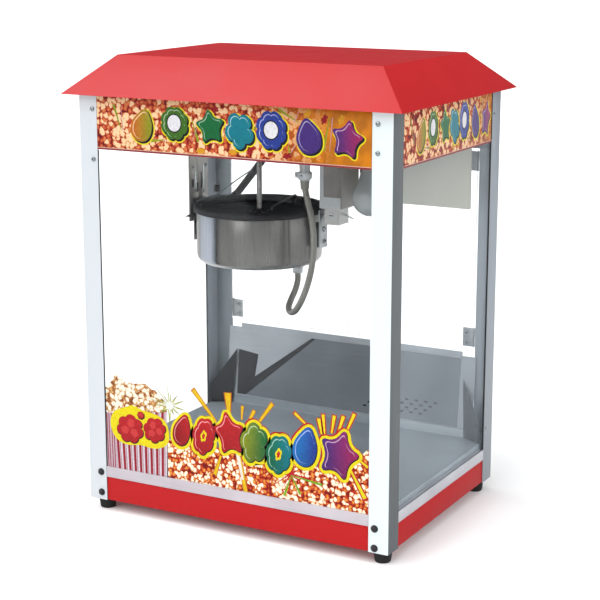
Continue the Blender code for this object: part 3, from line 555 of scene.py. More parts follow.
CONDUIT_R = 0.00525
CONDUIT_ROUTE = [
    (0.0745, -0.1000, 0.5742),
    (0.0748, -0.1000, 0.5620),
    (0.0800, -0.1000, 0.5400),
    (0.0865, -0.1000, 0.5150),
    (0.0900, -0.1000, 0.4880),
    (0.0902, -0.1000, 0.4600),
    (0.0862, -0.0990, 0.4330),
    (0.0775, -0.0960, 0.4050),
    (0.0640, -0.0900, 0.3775),
    (0.0470, -0.0800, 0.3560),
    (0.0290, -0.0640, 0.3475),
    (0.0140, -0.0440, 0.3500),
    (0.0075, -0.0230, 0.3590),
    (0.0068, -0.0065, 0.3730),
    (0.0075, 0.0000, 0.3880),
    (0.0075, 0.0000, 0.3997),
]
STRIP_PITCH = 0.0034
STRIP_DEPTH = 0.00075
SEAM_HALF = 0.275
RING_POINTS = 18


def smooth_route(points, per_stretch):
    """Catmull-Rom points through the route."""
    route = [Vector(point) for point in points]
    ends = [route[0] * 2 - route[1], *route, route[-1] * 2 - route[-2]]
    out = []
    for i in range(len(route) - 1):
        a, b, c, d = ends[i : i + 4]
        for step in range(per_stretch):
            t = step / per_stretch
            pull = (c - a) * t + (a * 2 - b * 5 + c * 4 - d) * t**2 + (b * 3 - a - c * 3 + d) * t**3
            out.append(b + pull / 2)
    out.append(route[-1])
    return out


def even(points, step):
    """The same line with evenly spaced points."""
    out, left = [points[0]], step
    for a, b in zip(points, points[1:]):
        length = (b - a).length
        while left <= length:
            out.append(a.lerp(b, left / length))
            left += step
        left -= length
    out.append(points[-1])
    return out


def strip_ring(along):
    """The conduit's section: a helical seam sinks the strip's edge once a turn."""
    ring = []
    for k in range(RING_POINTS):
        phase = (along / STRIP_PITCH + k / RING_POINTS) % 1.0
        sunk = STRIP_DEPTH * max(0.0, 1 - abs(phase - 0.5) / SEAM_HALF)
        ring.append(polar(CONDUIT_R - sunk, tau * k / RING_POINTS))
    return ring


line = smooth_route(CONDUIT_ROUTE, 12)
fine = even(line, 0.0006)
conduit = Shape().sweep(fine, strip_ring).piece(
    "conduit_spiral", "conduit", "conduit_steel", None, ("conduit",), limit=60
)
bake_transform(conduit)


# Stage

ground = bpy.data.objects.new("ground", bpy.data.meshes.new("ground"))
scene.collection.objects.link(ground)
Shape().box((-40, -40, -0.05), (40, 40, 0.0)).into(ground.data)
made, tree, shader = surface("ground_paper", (0.86, 0.86, 0.855), 0.9)
feed(shader, Base_Color=mix(tree, noise(tree, 3), (0.855, 0.855, 0.85), (0.87, 0.87, 0.865)))
ground.data.materials.append(made)

scene.view_settings.view_transform = "Standard"
world = bpy.data.worlds.new("studio")
scene.world = world
world.use_nodes = True
sky = world.node_tree
back = sky.nodes["Background"]
where = node(sky, "TexCoord").outputs["Generated"]


def towards(direction, start, end):
    """How far a world direction leans to that one, 0 to 1."""
    way = Vector(direction).normalized()
    dot = node(sky, "VectorMath", {0: where, 1: way}, operation="DOT_PRODUCT").outputs["Value"]
    return share(sky, dot, start, end)


soft = mix(sky, towards((0.35, 0.9, 0.15), -0.15, 0.45), (0.92, 0.94, 0.96), (0.12, 0.13, 0.15))
soft = mix(sky, towards((-0.47, -0.11, 0.88), 0.962, 0.985), soft, (7.0, 7.0, 7.0))
seen = node(sky, "LightPath").outputs["Is Camera Ray"]
feed(back, Color=mix(sky, seen, soft, (1.4, 1.4, 1.4)))
back.inputs["Strength"].default_value = 0.9

for name, way, strength, angle_deg in (
    ("key", (0.30, 0.80, -0.62), 1.9, 50),
    ("side", (-0.85, 0.15, -0.42), 2.2, 60),
    ("top", (0.1, 0.05, -1.0), 1.2, 80),
):
    light = bpy.data.lights.new(name, "SUN")
    light.energy = strength
    light.angle = radians(angle_deg)
    sun = bpy.data.objects.new(name, light)
    scene.collection.objects.link(sun)
    sun.rotation_euler = Vector(way).to_track_quat("-Z", "Y").to_euler()


# Cabinet

POST_W = 0.0347
POST_D = 0.0361
X_OUT, Y_OUT = 0.28, 0.21
SHEET = 0.0015
X_BETWEEN = X_OUT - POST_W
Y_BETWEEN = Y_OUT - POST_D


def post_outline(sx, sy):
    """L section with a rolled outer corner."""
    r, inner = 0.0024, 0.0009
    corner = arc((X_OUT - r, Y_OUT - r), r, 0, 90, 5)
    heel = arc((X_OUT - SHEET - inner, Y_OUT - SHEET - inner), inner, 90, 0, 3)
    outline = [*corner, (X_BETWEEN, Y_OUT), (X_BETWEEN, Y_OUT - SHEET)]
    outline += [*heel, (X_OUT - SHEET, Y_BETWEEN), (X_OUT, Y_BETWEEN)]
    outline = [(x * sx, y * sy) for x, y in outline]
    return outline if sx * sy > 0 else outline[::-1]


SIDES = (("left", -1), ("right", 1))
for side, sx in SIDES:
    post = f"post_front_{side}"
    low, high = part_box(post)
    Shape().prism(post_outline(sx, -1), low.z, high.z).piece(
        f"{post}_finished", f"alu_{side}", "aluminium", "root", (post,), bevel=0.0004
    )
    remade(f"post_rear_{side}", f"alu_rear_{side}", 0.0005)
    remade(f"glass_{side}", "glass_side", 0.0005)
    remade(f"door_{side}", "acrylic", 0.0004)
    remade(f"door_knob_{side}", "black_plastic", 0.0008, 3)
    for name, material in (("channel", "alu_y"), ("sign", f"sign_{side}"), ("guard", "dark_steel")):
        remade(f"{name}_{side}", material, 0.0003)
    for level in ("lower", "upper"):
        remade(f"hinge_{level}_{side}", "zinc", 0.0002)
    for end in ("front", "rear"):
        remade(f"foot_{end}_{side}", "rubber", 0.0006)

# Material, bevel and its segments, and the CAD nodes that have them
for material, bevel, segments, names in (
    ("alu_x", 0.0003, 2, "channel_front"),
    ("glass", 0.0005, 2, "glass_front"),
    ("sign_front", 0.0003, 2, "sign_front"),
    ("red_roof", 0.0012, 3, "roof_shell"),
    ("red", 0.0008, 3, "base_tub"),
    ("steel_y", 0.0008, 3, "floor_pan"),
    ("steel_y", 0.0003, 2, "ceiling_plate"),
    ("steel_x", 0.0004, 2, "rear_fascia"),
    ("steel_painted_lit", 0.0004, 2, "hanger_left"),
    ("hanger", 0.0004, 2, "hanger_right"),
    ("beige", 0.0006, 2, "switch_cover"),
    ("black_plastic", 0.0004, 2, "switch_bank mains_gland"),
    ("rocker", 0.0004, 2, "rocker_light rocker_motor rocker_kettle"),
    ("motor", 0.0012, 2, "gearmotor"),
    ("porcelain", 0.0006, 2, "lamp_holder"),
    ("opal", 0.0005, 2, "bulb"),
    ("drum", 0.0004, 2, "kettle_shell"),
    ("steel_z", 0.0004, 2, "ear_left"),
    ("pale_steel", 0.0004, 2, "ear_right"),
    ("bright", 0.0004, 2, "drive_shaft stirrer"),
    ("bright", 0.0005, 2, "drive_coupling"),
    ("zinc", 0.0004, 2, "heating_element kettle_gland"),
    ("zinc", 0.0005, 2, "ceiling_connector"),
    ("black", 0.0004, 2, "kettle_pan lid_bar lid_front lid_rear"),
    ("black", 0.0005, 2, "dump_handle"),
    ("black_plastic", 0.001, 3, "dump_knob"),
):
    for name in names.split():
        remade(name, material, bevel, segments)
remade("rear_sill", "steel_sill", 0, limit=3.0)


# Fasteners, seals and small fittings: form only, each on its body

SUNK = 0.0004


def screw_head(shape, at, way, radius=0.0034, height=0.0021):
    """Button head with a round drive recess."""
    r, h = radius, height
    profile = [(0, -SUNK), (r, -SUNK), (r, h * 0.35), (r * 0.86, h * 0.78), (r * 0.55, h)]
    profile += [(r * 0.36, h), (r * 0.30, h * 0.5), (0, h * 0.5)]
    return shape.lathe(profile, facing(at, way), 24)


NUT_R, NUT_FLANGE, NUT_HEIGHT = 0.006, 0.0014, 0.0056


def dome_nut(shape, at, way):
    """Acorn nut on its round flange."""
    base = [(0, -SUNK), (NUT_R, -SUNK), (NUT_R, 0.001), (NUT_R * 0.82, NUT_FLANGE)]
    stretch = (NUT_HEIGHT - NUT_FLANGE) / (NUT_R * 0.8)
    dome = [(r, NUT_FLANGE + z * stretch) for r, z in arc((0, 0), NUT_R * 0.8, 0, 90, 6)[:-1]]
    return shape.lathe(base + dome + [(0, NUT_HEIGHT)], facing(at, way), 24)


def heads(name, rows, slot="cabinet_steel", body="root"):
    """One piece of screw heads; a row is a point, a direction and, where they differ, radius and height."""
    screws = Shape()
    for row in rows:
        screw_head(screws, *row)
    screws.piece(name, "chrome", slot, body)


FRONT, REAR, RIGHT = (0, -1, 0), (0, 1, 0), (1, 0, 0)
SIGN_SCREWS = ((-0.2534, 0.681), (-0.2534, 0.6), (0.2547, 0.685), (0.2547, 0.642))
rows = [((x, -Y_OUT, z), FRONT, 0.004, 0.0024) for x, z in SIGN_SCREWS]
for side, sx in SIDES:
    rows += [((0.264 * sx, Y_OUT, z), REAR) for z in (0.681, 0.64)]
    rows += [((X_OUT * sx, 0.1812, z), (sx, 0, 0), 0.0022, 0.0014) for z in (0.6629, 0.118)]
    rows += [((0.23 * sx, 0.208, z), REAR, 0.0026, 0.0016) for z in (0.612, 0.69)]
heads("post_screws", rows, "aluminium")

nuts = Shape()
for x, z in ((-0.256, 0.069), (-0.256, 0.033), (0.256, 0.06), (0.256, 0.028)):
    dome_nut(nuts, (x, -Y_OUT, z), FRONT)
    dome_nut(nuts, (x, Y_OUT, z), REAR)
nuts.piece("post_dome_nuts", "black_plastic", "black_plastic")

# Seals along the rear edges of the side panes and signs, and up the front pane's left edge
SEAL_Y = (0.17, 0.1736)
PANE_Z, SIGN_Z = (0.081, 0.616), (0.617, 0.703)
seals = Shape()
for side, sx in SIDES:
    x0, x1 = sorted((0.2783 * sx, 0.2797 * sx))
    seals.box((x0, SEAL_Y[0], PANE_Z[0]), (x1, SEAL_Y[1], PANE_Z[1]))
    x0, x1 = sorted((X_OUT * sx, (X_OUT + 0.0004) * sx))
    seals.box((x0, SEAL_Y[0], SIGN_Z[0]), (x1, SEAL_Y[1] - 0.0002, SIGN_Z[1]))
seals.box((-0.2451, -0.2096, PANE_Z[0]), (-0.2439, -0.2083, PANE_Z[1]))
seals.piece("pane_seals", "rubber", "foot_rubber")

SILL_FOOT, SILL_TOP = Vector((0, 0.1935, 0.106)), Vector((0, 0.2065, 0.242))
SILL_X = 0.222
HEM_Z = (0.2312, 0.2414)


def sill_y(z):
    """Depth of the middle of the leaning rear sill at that height."""
    return SILL_FOOT.lerp(SILL_TOP, (z - SILL_FOOT.z) / (SILL_TOP.z - SILL_FOOT.z)).y


(y0, z0), (y1, z1) = ((sill_y(z), z) for z in HEM_Z)
outline = [(y0 - 0.0004, z0), (y1 - 0.0004, z1), (y1 - 0.0013, z1), (y0 - 0.0013, z0)]
hem = Shape().prism(outline, -SILL_X, SILL_X, ALONG_X)
hem.piece("sill_hem", "steel_sill", "cabinet_steel", bevel=0.0002)

# The apron leans on the sill. In its frame u runs across, v up the slope and w out towards the front.
SLOPE = (SILL_TOP - SILL_FOOT).normalized()
AXES = Matrix(((1, 0, 0), (0, SLOPE.y, -SLOPE.z), (0, SLOPE.z, SLOPE.y))).to_4x4()
UP_SILL = Matrix.Translation(SILL_FOOT) @ AXES
APRON_FOOT, APRON_TOP = 0.0015, 0.1245
apron = [(-0.2086, APRON_FOOT), (SILL_X, APRON_FOOT), (SILL_X, APRON_TOP), (-0.0659, APRON_TOP)]
flange = [(-0.209, APRON_FOOT), (-0.0663, APRON_TOP), (-0.0745, APRON_TOP), (-0.1909, 0.0382)]
flange += [(-0.1851, 0.0812), (-0.2275, 0.0866), (-0.2275, APRON_FOOT)]
for name, material, outline, out in (
    ("sill_apron", "steel_x", apron, 0.0014), ("guard_flange_left", "dark_steel", flange, 0.0012)
):
    Shape().prism(outline, 0.0006, out, UP_SILL).piece(name, material, "cabinet_steel", bevel=0.0002)

SLOT_ROWS, SLOTS_A_ROW = 4, 7
FIRST_SLOT = (0.178, 0.0382)
SLOT_STEP, ROW_SHIFT, ROW_STEP = 0.0184, 0.0092, 0.0076
SLOT_HALF, SLOT_R = 0.002, 0.0015
slots = Shape()
for row in range(SLOT_ROWS):
    for column in range(SLOTS_A_ROW):
        u = FIRST_SLOT[0] - row * ROW_SHIFT - column * SLOT_STEP
        v = FIRST_SLOT[1] - row * ROW_STEP
        ends = arc((u + SLOT_HALF, v), SLOT_R, -90, 90, 6) + arc((u - SLOT_HALF, v), SLOT_R, 90, 270, 6)
        slots.prism(ends, 0.0015, 0.0017, UP_SILL)
slots.piece("apron_slots", "slot", "cabinet_steel")

HINGE_FEET = (0.2525, 0.5615)
for side, sx in SIDES:
    leaf_screws, rivets = [], []
    for bottom in HINGE_FEET:
        for up in (0.008, 0.0255):
            leaf_screws += [((0.23 * sx, 0.2045, bottom + up), FRONT, 0.0026, 0.0013)]
            leaf_screws += [((0.23 * sx, 0.209, bottom + up), REAR, 0.0022, 0.001)]
        rivets += [((0.256 * sx, 0.2112, bottom + up), REAR, 0.0018, 0.0009) for up in (0.004, 0.0125)]
    heads(f"hinge_screws_{side}", leaf_screws, body=f"door_{side}")
    heads(f"hinge_rivets_{side}", rivets)


# Left hanger and ear

HANGER_FACE = -0.1855
EAR_FACE = -0.1825
bolts = ((-0.0176, 0.566), (0.0227, 0.566), (0.0, 0.64))
heads("hanger_bolts_left", [((HANGER_FACE, y, z), RIGHT) for y, z in bolts])


def strips(name, material, slot, proud, rows):
    """Upright strips on the left hanger; a row is (low y, high y, low z, high z)."""
    made = Shape()
    for y0, y1, z0, z1 in rows:
        made.box((HANGER_FACE - 0.0001, y0, z0), (HANGER_FACE + proud, y1, z1))
    made.piece(name, material, slot, bevel=0.0001)


ribs = ((-0.0118, -0.0084, 0.524, 0.5594), (0.0132, 0.0172, 0.52, 0.57))
strips("hanger_ribs_left", "chrome", "cabinet_steel", 0.0004, ribs)
# painted shade: black strips stand in for the shade in the hanger's slots
gaps = ((-0.0066, -0.0018, 0.5231, 0.5396), (-0.0222, -0.0153, 0.5325, 0.5465), (0.006, 0.01, 0.528, 0.556))
strips("hanger_slots_left", "black", "black_coating", 0.0003, gaps)

ear_bits = Shape()
hexagon = arc((0, 0), 0.0115 / sqrt(3), 0, 300, 5)
ear_bits.prism(hexagon, -0.0003, 0.004, facing((EAR_FACE, -0.0155, 0.4705), RIGHT))
point = [(-0.012, 0.4835), (-0.012, 0.4885), (-0.034, 0.4885), (-0.0495, 0.4867), (-0.034, 0.4845)]
ear_bits.prism(point, -0.1843, -0.1812, ALONG_X)
ear_bits.piece("ear_nut_and_pointer", "black_plastic", "black_coating", "kettle", bevel=0.0003)
rows = [((EAR_FACE, -0.0084, 0.5085), RIGHT, 0.0034, 0.0016)]
rows += [((0.056, 0.001, 0.4787), RIGHT, 0.0046, 0.003), ((0.056, 0.0035, 0.4575), RIGHT, 0.0034, 0.0024)]
heads("ear_bolts", rows, "bright_steel", "kettle")
# painted shade: a black strip fills the shade between the ear's front edge and the drum
Shape().box((0.05, -0.019, 0.45), (0.0539, -0.0128, 0.492)).piece(
    "ear_shade_strip", "black", "black_coating", "kettle", bevel=0.0004
)
Shape().box((-0.2782, 0.201, 0.487), (-0.2706, 0.2083, 0.4995)).piece(
    "door_catch", "black_plastic", "black_plastic", bevel=0.0006
)


# Right hanger and its pivot block

flange = Shape().box((0.064, -0.03, 0.5185), (0.0715, -0.0294, 0.699))
flange.box((0.0715, -0.03, 0.5185), (0.1025, -0.0294, 0.5375))
flange.piece("hanger_flange_right", "pale_steel", "cabinet_steel", bevel=0.0002)
boss = Shape()
profile = [(0, -SUNK), (0.0052, -SUNK), (0.0052, 0.0008), (0.0044, 0.0014), (0, 0.0014)]
boss.lathe(profile, facing((0.0808, -0.02, 0.506), FRONT), 28)
boss.rod((0.094, 0.002, 0.506), (0.1085, 0.006, 0.4985), 0.0011, 14)
boss.piece("block_boss_and_pin", "zinc", "cabinet_steel")
slot = Shape().box((0.077, -0.0219, 0.5054), (0.0846, -0.0212, 0.5068))
slot.piece("block_boss_slot", "black", "black_coating")


# Conduit clamp and its sleeve

CLAMP_X, CLAMP_Y = CONDUIT_ROUTE[0][:2]
at = Matrix.Translation((CLAMP_X, CLAMP_Y, 0))
clamp = Shape().lathe([(0.0101, 0.578), (0.0116, 0.578), (0.0116, 0.5875), (0.0101, 0.5875)], at, 32)
clamp.box((0.059, -0.105, 0.5785), (0.065, CLAMP_Y, 0.587))
clamp.piece("conduit_clamp", "zinc", "bright_steel", bevel=0.0003)
rows = [((x, y, 0.5828), FRONT, 0.0022, 0.0016) for x, y in ((0.062, -0.105), (CLAMP_X, -0.1116))]
heads("conduit_clamp_screws", rows, "bright_steel")
sleeve = Shape().lathe([(0.0057, 0.5743), (0.0076, 0.5743), (0.0066, 0.561), (0.0057, 0.56)], at, 28)
sleeve.piece("conduit_sleeve", "conduit", "conduit_steel")


# Kettle fittings


def round_kettle(deg, radius):
    return polar(radius, radians(deg), (KETTLE_X, 0))


strap = [round_kettle(deg, 0.1067) for deg in range(-39, -32)]
strap += [round_kettle(deg, 0.1059) for deg in range(-33, -40, -1)]
Shape().prism(strap, 0.4285, 0.5).piece("kettle_seam_strap", "drum", "kettle_steel", "kettle")
tab = Shape().box((0.0128, -0.0013, 0.4987), (0.0168, 0.0013, 0.4996))
for side, first in (("front", -140), ("rear", 40)):
    turns = [Matrix.Rotation(radians(first + 50 * i), 4, "Z") for i in range(3)]
    tabs = Shape().copies(tab, [Matrix.Translation((KETTLE_X, 0, 0)) @ turn for turn in turns])
    tabs.piece(f"lid_star_{side}", "bright", "bright_steel", f"lid_{side}", bevel=0.0002)


def wire(name, points, radius, material="chrome", body="kettle"):
    """A bent round rod with soft bends, as a piece."""
    ring = arc((0, 0), radius, 0, 330, 11)
    Shape().sweep(smooth_route(points, 6), ring).piece(name, material, "bright_steel", body)


grip = [(-0.052, 0.017, 0.4982), (-0.052, 0.0175, 0.5012), (-0.0515, 0.023, 0.5046), (-0.048, 0.056, 0.511)]
grip += [(-0.0451, 0.085, 0.515), (-0.0448, 0.0895, 0.5125), (-0.0447, 0.09, 0.4982)]
wire("lid_grip", grip, 0.0017, "bright", "lid_rear")
stay = [(-0.169, 0.028, 0.5105), (-0.168, 0.036, 0.515), (-0.162, 0.085, 0.532), (-0.154, 0.133, 0.5475)]
wire("handle_stay", stay, 0.0012)
rim = [(*round_kettle(deg, 0.1092), 0.5118 + 0.001 * sin(deg / 5.0)) for deg in range(188, 138, -4)]
wire("rim_wire", rim, 0.0011)


# Printed films on the front pane and the signs: generic puffs, kernels and stars, each a thin closed solid


def rounded(points):
    """The closed outline with its corners cut twice over."""
    for _ in range(2):
        ends = list(zip(points, points[1:] + points[:1]))
        points = [
            (a[0] * (1 - t) + b[0] * t, a[1] * (1 - t) + b[1] * t) for a, b in ends for t in (0.25, 0.75)
        ]
    return points


def puff(lobes, depth, count=72):
    turns = [tau * i / count for i in range(count)]
    return [polar((1 - depth + depth * abs(sin(t * lobes / 2)) ** 0.6) / 2, t) for t in turns]


def star():
    return rounded([polar(r, pi / 2 + pi * i / 5) for i, r in enumerate([0.5, 0.25] * 5)])


def kernel():
    drop = [(0.02, 0.52), (0.26, 0.3), (0.44, 0.02), (0.38, -0.34), (0.06, -0.5)]
    drop += [(-0.34, -0.4), (-0.46, -0.06), (-0.3, 0.22)]
    return rounded(drop[::-1])


def grown(outline, distance):
    """The counter-clockwise outline moved outwards."""
    n = len(outline)
    out = []
    for i, (x, y) in enumerate(outline):
        (ax, ay), (bx, by) = outline[i - 1], outline[(i + 1) % n]
        way = Vector((by - ay, ax - bx))
        way = way.normalized() * distance if way.length else way
        out.append((x + way.x, y + way.y))
    return out


def placed(outline, centre, size, spin_deg):
    c, s = cos(radians(spin_deg)), sin(radians(spin_deg))
    stretched = [(x * size[0], y * size[1]) for x, y in outline]
    return [(centre[0] + x * c - y * s, centre[1] + x * s + y * c) for x, y in stretched]


def shaded(left, right, low=0.85):
    """Ink that runs from one colour to another across the shape and darkens to its foot."""

    def ink(u, v):
        down = low + (1 - low) * v
        return tuple((a * (1 - u) + b * u) * down for a, b in zip(left, right))

    return ink


FILM_T = 0.000045
FILM_STEP = 0.00005
FILM_BASE = 0.00002
RIM = 0.0013
GLINT = 0.0007


class Print:
    """Films on one plane; a level says which lies on which."""

    def __init__(self, origin, right, out):
        self.at = Vector(origin)
        self.right = Vector(right)
        self.out = Vector(out)
        self.bm = bmesh.new()
        self.layer = self.bm.verts.layers.float_color.new("ink")

    def _ring(self, outline, height, ink, low, span):
        ring = []
        for u, v in outline:
            place = self.at + self.right * u + Vector((0, 0, v)) + self.out * height
            vert = self.bm.verts.new(place)
            colour = ink((u - low[0]) / span[0], (v - low[1]) / span[1]) if callable(ink) else ink
            vert[self.layer] = (*colour, 1)
            ring.append(vert)
        return ring

    def film(self, outline, ink, level):
        low = [min(p[i] for p in outline) for i in (0, 1)]
        span = [max(p[i] for p in outline) - low[i] or 1.0 for i in (0, 1)]
        base = FILM_BASE + FILM_STEP * level
        under = self._ring(outline, base, BACKING, low, span)
        over = self._ring(outline, base + FILM_T, ink, low, span)
        self.bm.faces.new(under[::-1])
        self.bm.faces.new(over)
        for i in range(len(under)):
            self.bm.faces.new((under[i - 1], under[i], over[i], over[i - 1]))
        return self

    def ray(self, start, end, near_w, far_w, ink, level):
        """A tapering stroke."""
        a, b = Vector(start), Vector(end)
        side = (b - a).orthogonal().normalized() / 2
        near, far = side * near_w, side * far_w
        return self.film([tuple(a - near), tuple(b - far), tuple(b + far), tuple(a + near)], ink, level)

    def burst(self, centre, tips, inner, ink, level):
        """Spikes from a centre to each tip, in order round it."""
        points = []
        for tip, following in zip(tips, tips[1:] + tips[:1]):
            one, other = ((Vector(p) - Vector(centre)).normalized() for p in (tip, following))
            between = (one + other).normalized() if (one + other).length > 0.2 else one
            points += [tip, tuple(Vector(centre) + between * inner)]
        return self.film(points, ink, level)

    def badge(self, form, centre, size, ink, level, spin, drop, edge, rim=None):
        """One raised-looking shape: yellow outline, black shadow, coloured body and a pale glint."""
        (u, v), (w, h) = centre, size
        body = placed(form, centre, size, spin)
        shadow = [(x + drop[0], y + drop[1]) for x, y in body]
        if rim:
            self.film(grown(body, edge + RIM), rim, level)
        self.film(grown(shadow, edge), YELLOW, level + 1)
        self.film(grown(shadow, 0.0004), BLACK_INK, level + 2)
        self.film(body, ink, level + 3)
        mean = [sum(c) / 6 for c in zip(ink(0, 1), ink(1, 1))]
        glint = tuple(min(1.0, c + 0.22 + m) for c, m in zip(ink(0.5, 1), mean))
        self.film(placed(form, centre, (w * 0.8, h * 0.84), spin), glint, level + 4)
        front = (u + GLINT, v - GLINT)
        return self.film(placed(form, front, (w * 0.77, h * 0.81), spin), ink, level + 5)

    def piece(self, name, material):
        bmesh.ops.recalc_face_normals(self.bm, faces=self.bm.faces)
        mesh = bpy.data.meshes.new(name)
        self.bm.to_mesh(mesh)
        self.bm.free()
        return dressed(name, mesh, material, "root", (), 0.0, 1, 30)


YELLOW = printed(232, 214, 22)
BACKING = printed(214, 212, 206)
BLACK_INK = printed(22, 18, 26)
INKS = {
    "orange": printed(206, 108, 38),
    "lime": printed(140, 150, 30),
    "leaf_with_painted_shade": printed(64, 112, 30),
    "green": printed(14, 106, 56),
    "teal": printed(12, 124, 140),
    "sky": printed(30, 120, 196),
    "blue": printed(40, 62, 150),
    "violet": printed(70, 44, 122),
    "magenta": printed(160, 34, 92),
    "red": printed(186, 30, 36),
    "dark_red": printed(150, 20, 26),
    "white": printed(226, 226, 230),
    "pink": printed(196, 150, 156),
}
KERNEL, STAR = kernel(), star()
SIGN_SHAPES = [
    (KERNEL, (-0.1585, 0.6607), (0.047, 0.057), "orange", "lime", -14, False),
    (puff(8, 0.12), (-0.0979, 0.6667), (0.051, 0.053), "leaf_with_painted_shade", "leaf_with_painted_shade", 0, True),
    (STAR, (-0.0324, 0.6647), (0.06, 0.062), "green", "green", 8, False),
    (puff(5, 0.3), (0.0199, 0.6618), (0.052, 0.058), "teal", "teal", 14, False),
    (puff(8, 0.12), (0.0756, 0.6659), (0.054, 0.06), "blue", "blue", 0, True),
    (KERNEL, (0.1392, 0.6609), (0.05, 0.058), "violet", "violet", 12, False),
    (STAR, (0.204, 0.6594), (0.062, 0.068), "violet", "magenta", -10, False),
]
SIGN_RAYS = [(-0.205, 0.65, 0.69), (-0.128, 0.64, 0.636), (-0.06, 0.676, 0.64), (0.046, 0.69, 0.64)]
SIGN_RAYS += [(0.107, 0.645, 0.628), (0.17, 0.69, 0.64), (0.106, 0.68, 0.698)]
SIGN_STRIPS = (("edge", 0.0002, 0.003, "trim_red", 0), ("line", 0.003, 0.004, "trim_pale", 9))
random.seed(7)


def sign_art(name, origin, right, out, width):
    """The row of shapes on one sign, drawn closer together on a narrower one."""
    squeeze = width / (2 * X_BETWEEN)
    art = Print(origin, right, out)
    for u, v0, v1 in SIGN_RAYS:
        lean = random.uniform(-0.02, 0.02)
        foot, tip = ((u - lean) * squeeze, v0), ((u + lean) * squeeze, v1)
        art.ray(foot, tip, 0.001, 0.0045 * squeeze, INKS["lime"], 0)
        foot, tip = ((u + 0.01) * squeeze, v0), ((u - lean) * squeeze, v1)
        art.ray(foot, tip, 0.0016, 0.0006, INKS["pink"], 1)
    for i in range(9):
        u = (-0.05 + 0.031 * i + random.uniform(-0.006, 0.006)) * squeeze
        v = random.choice((0.628, 0.634, 0.688, 0.693)) + random.uniform(-0.002, 0.002)
        tone = random.choice((INKS["dark_red"], printed(214, 150, 30), INKS["dark_red"]))
        spin = random.uniform(0, 90)
        art.film(placed(puff(5, 0.35, 30), (u, v), (0.017 * squeeze, 0.01), spin), tone, 1)
    for form, (u, v), (w, h), first, last, spin, ring in SIGN_SHAPES:
        ink = shaded(INKS[first], INKS[last])
        art.badge(form, (u * squeeze, v), (w * squeeze, h), ink, 2, spin, (0.0028 * squeeze, -0.0026), 0.0026)
        if ring:
            disc = [(x * 0.024 * squeeze, y * 0.026) for x, y in puff(2, 0.0, 40)]
            art.film([(u * squeeze + x * 1.16, v + y * 1.16) for x, y in disc], BLACK_INK, 8)
            art.film([(u * squeeze + x, v + y) for x, y in disc], INKS["white"], 9)
    art.piece(f"sign_art_{name}", "ink")
    half = width / 2 - 0.0004
    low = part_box(f"sign_{name}")[0].z
    for kind, foot, top, material, level in SIGN_STRIPS:
        strip = Print(origin, right, out)
        corners = [(-half, low + foot), (half, low + foot), (half, low + top), (-half, low + top)]
        strip.film(corners, YELLOW, level)
        strip.piece(f"sign_{kind}_{name}", material)


sign_art("front", (0, -Y_OUT, 0), RIGHT, FRONT, 2 * X_BETWEEN)
sign_art("right", (X_OUT, 0, 0), REAR, RIGHT, 2 * Y_BETWEEN)
sign_art("left", (-X_OUT, 0, 0), FRONT, (-1, 0, 0), 2 * Y_BETWEEN)


# Decal on the front pane


PANE = ((0, -0.2082, 0), RIGHT, FRONT)
LEFT_X, EDGE_X = -0.245, 0.2457
CARTON_X = -0.1226
DECAL_FOOT = 0.0704
CORNER, CORNER_FOOT = (-0.2266, 0.1765), (-0.2205, DECAL_FOOT)


def part_way(start, end, reach):
    return tuple(Vector(start).lerp(Vector(end), reach))


def ragged(points, step, size):
    """An open line with small seeded lumps along it."""
    out = []
    for (ax, ay), (bx, by) in zip(points, points[1:]):
        count = max(1, round(hypot(bx - ax, by - ay) / step))
        for i in range(count):
            t = i / count
            out.append((ax + (bx - ax) * t, ay + (by - ay) * t + random.uniform(-size, size)))
    return out + [points[-1]]


pile_top = [(CARTON_X, 0.152), (-0.1172, 0.145), (-0.0711, 0.149), (-0.0223, 0.146), (0.0189, 0.144)]
pile_top += [(0.0595, 0.139), (0.1126, 0.146), (0.1615, 0.144), (0.2095, 0.158), (EDGE_X, 0.1868)]
top_line = ragged(pile_top, 0.004, 0.0016)
pile = Print(*PANE)
outline = [(CARTON_X, DECAL_FOOT), (EDGE_X, DECAL_FOOT)] + [(min(x, EDGE_X), y) for x, y in top_line[::-1]]
pile.film(outline, YELLOW, 0)
pile.piece("decal_pile", "popcorn_pile")

heap_top = [(CARTON_X, 0.1925), (-0.128, 0.21), (-0.146, 0.2256), (-0.1641, 0.2337), (-0.2007, 0.233)]
heap_top += [(-0.2229, 0.2422), (LEFT_X, 0.2169)]
heap = Print(*PANE)
outline = ragged(heap_top, 0.005, 0.0016) + [(LEFT_X, 0.174), (CORNER[0], 0.174)]
heap.film(outline, YELLOW, 0)
heap.piece("decal_heap", "popcorn_heap")

art = Print(*PANE)
STRIPE_RED = printed(150, 28, 44)
side_face = [(LEFT_X, 0.1749), (LEFT_X, DECAL_FOOT), CORNER_FOOT, CORNER]
art.film(side_face, printed(196, 170, 182), 1)
front_face = [CORNER, CORNER_FOOT, (-0.125, DECAL_FOOT), (CARTON_X, 0.1925)]
art.film(front_face, printed(214, 202, 212), 1)


def carton(t, v=None):
    """A point of the carton's front, t of the way across at height v or at its top edge."""
    v = CORNER[1] + 0.016 * t if v is None else v
    down = (CORNER[1] - v) / (CORNER[1] - DECAL_FOOT)
    left = CORNER[0] + (CORNER_FOOT[0] - CORNER[0]) * down
    return left + t * (CARTON_X - 0.0024 * down - left), v


STRIPES = 9
for i in range(STRIPES):
    for start, width in ((0.0, 0.048), (0.062, 0.01)):
        t0 = i / STRIPES + start
        t1 = t0 + width
        if t1 <= 1:
            stripe = [carton(t0), carton(t0, DECAL_FOOT), carton(t1, DECAL_FOOT), carton(t1)]
            art.film(stripe, STRIPE_RED, 2)
for u in (-0.2436, -0.2396, -0.2345, -0.2302):
    stripe = [(u, 0.175), (u + 0.002, DECAL_FOOT), (u + 0.0036, DECAL_FOOT), (u + 0.0016, 0.1755)]
    art.film(stripe, STRIPE_RED, 2)

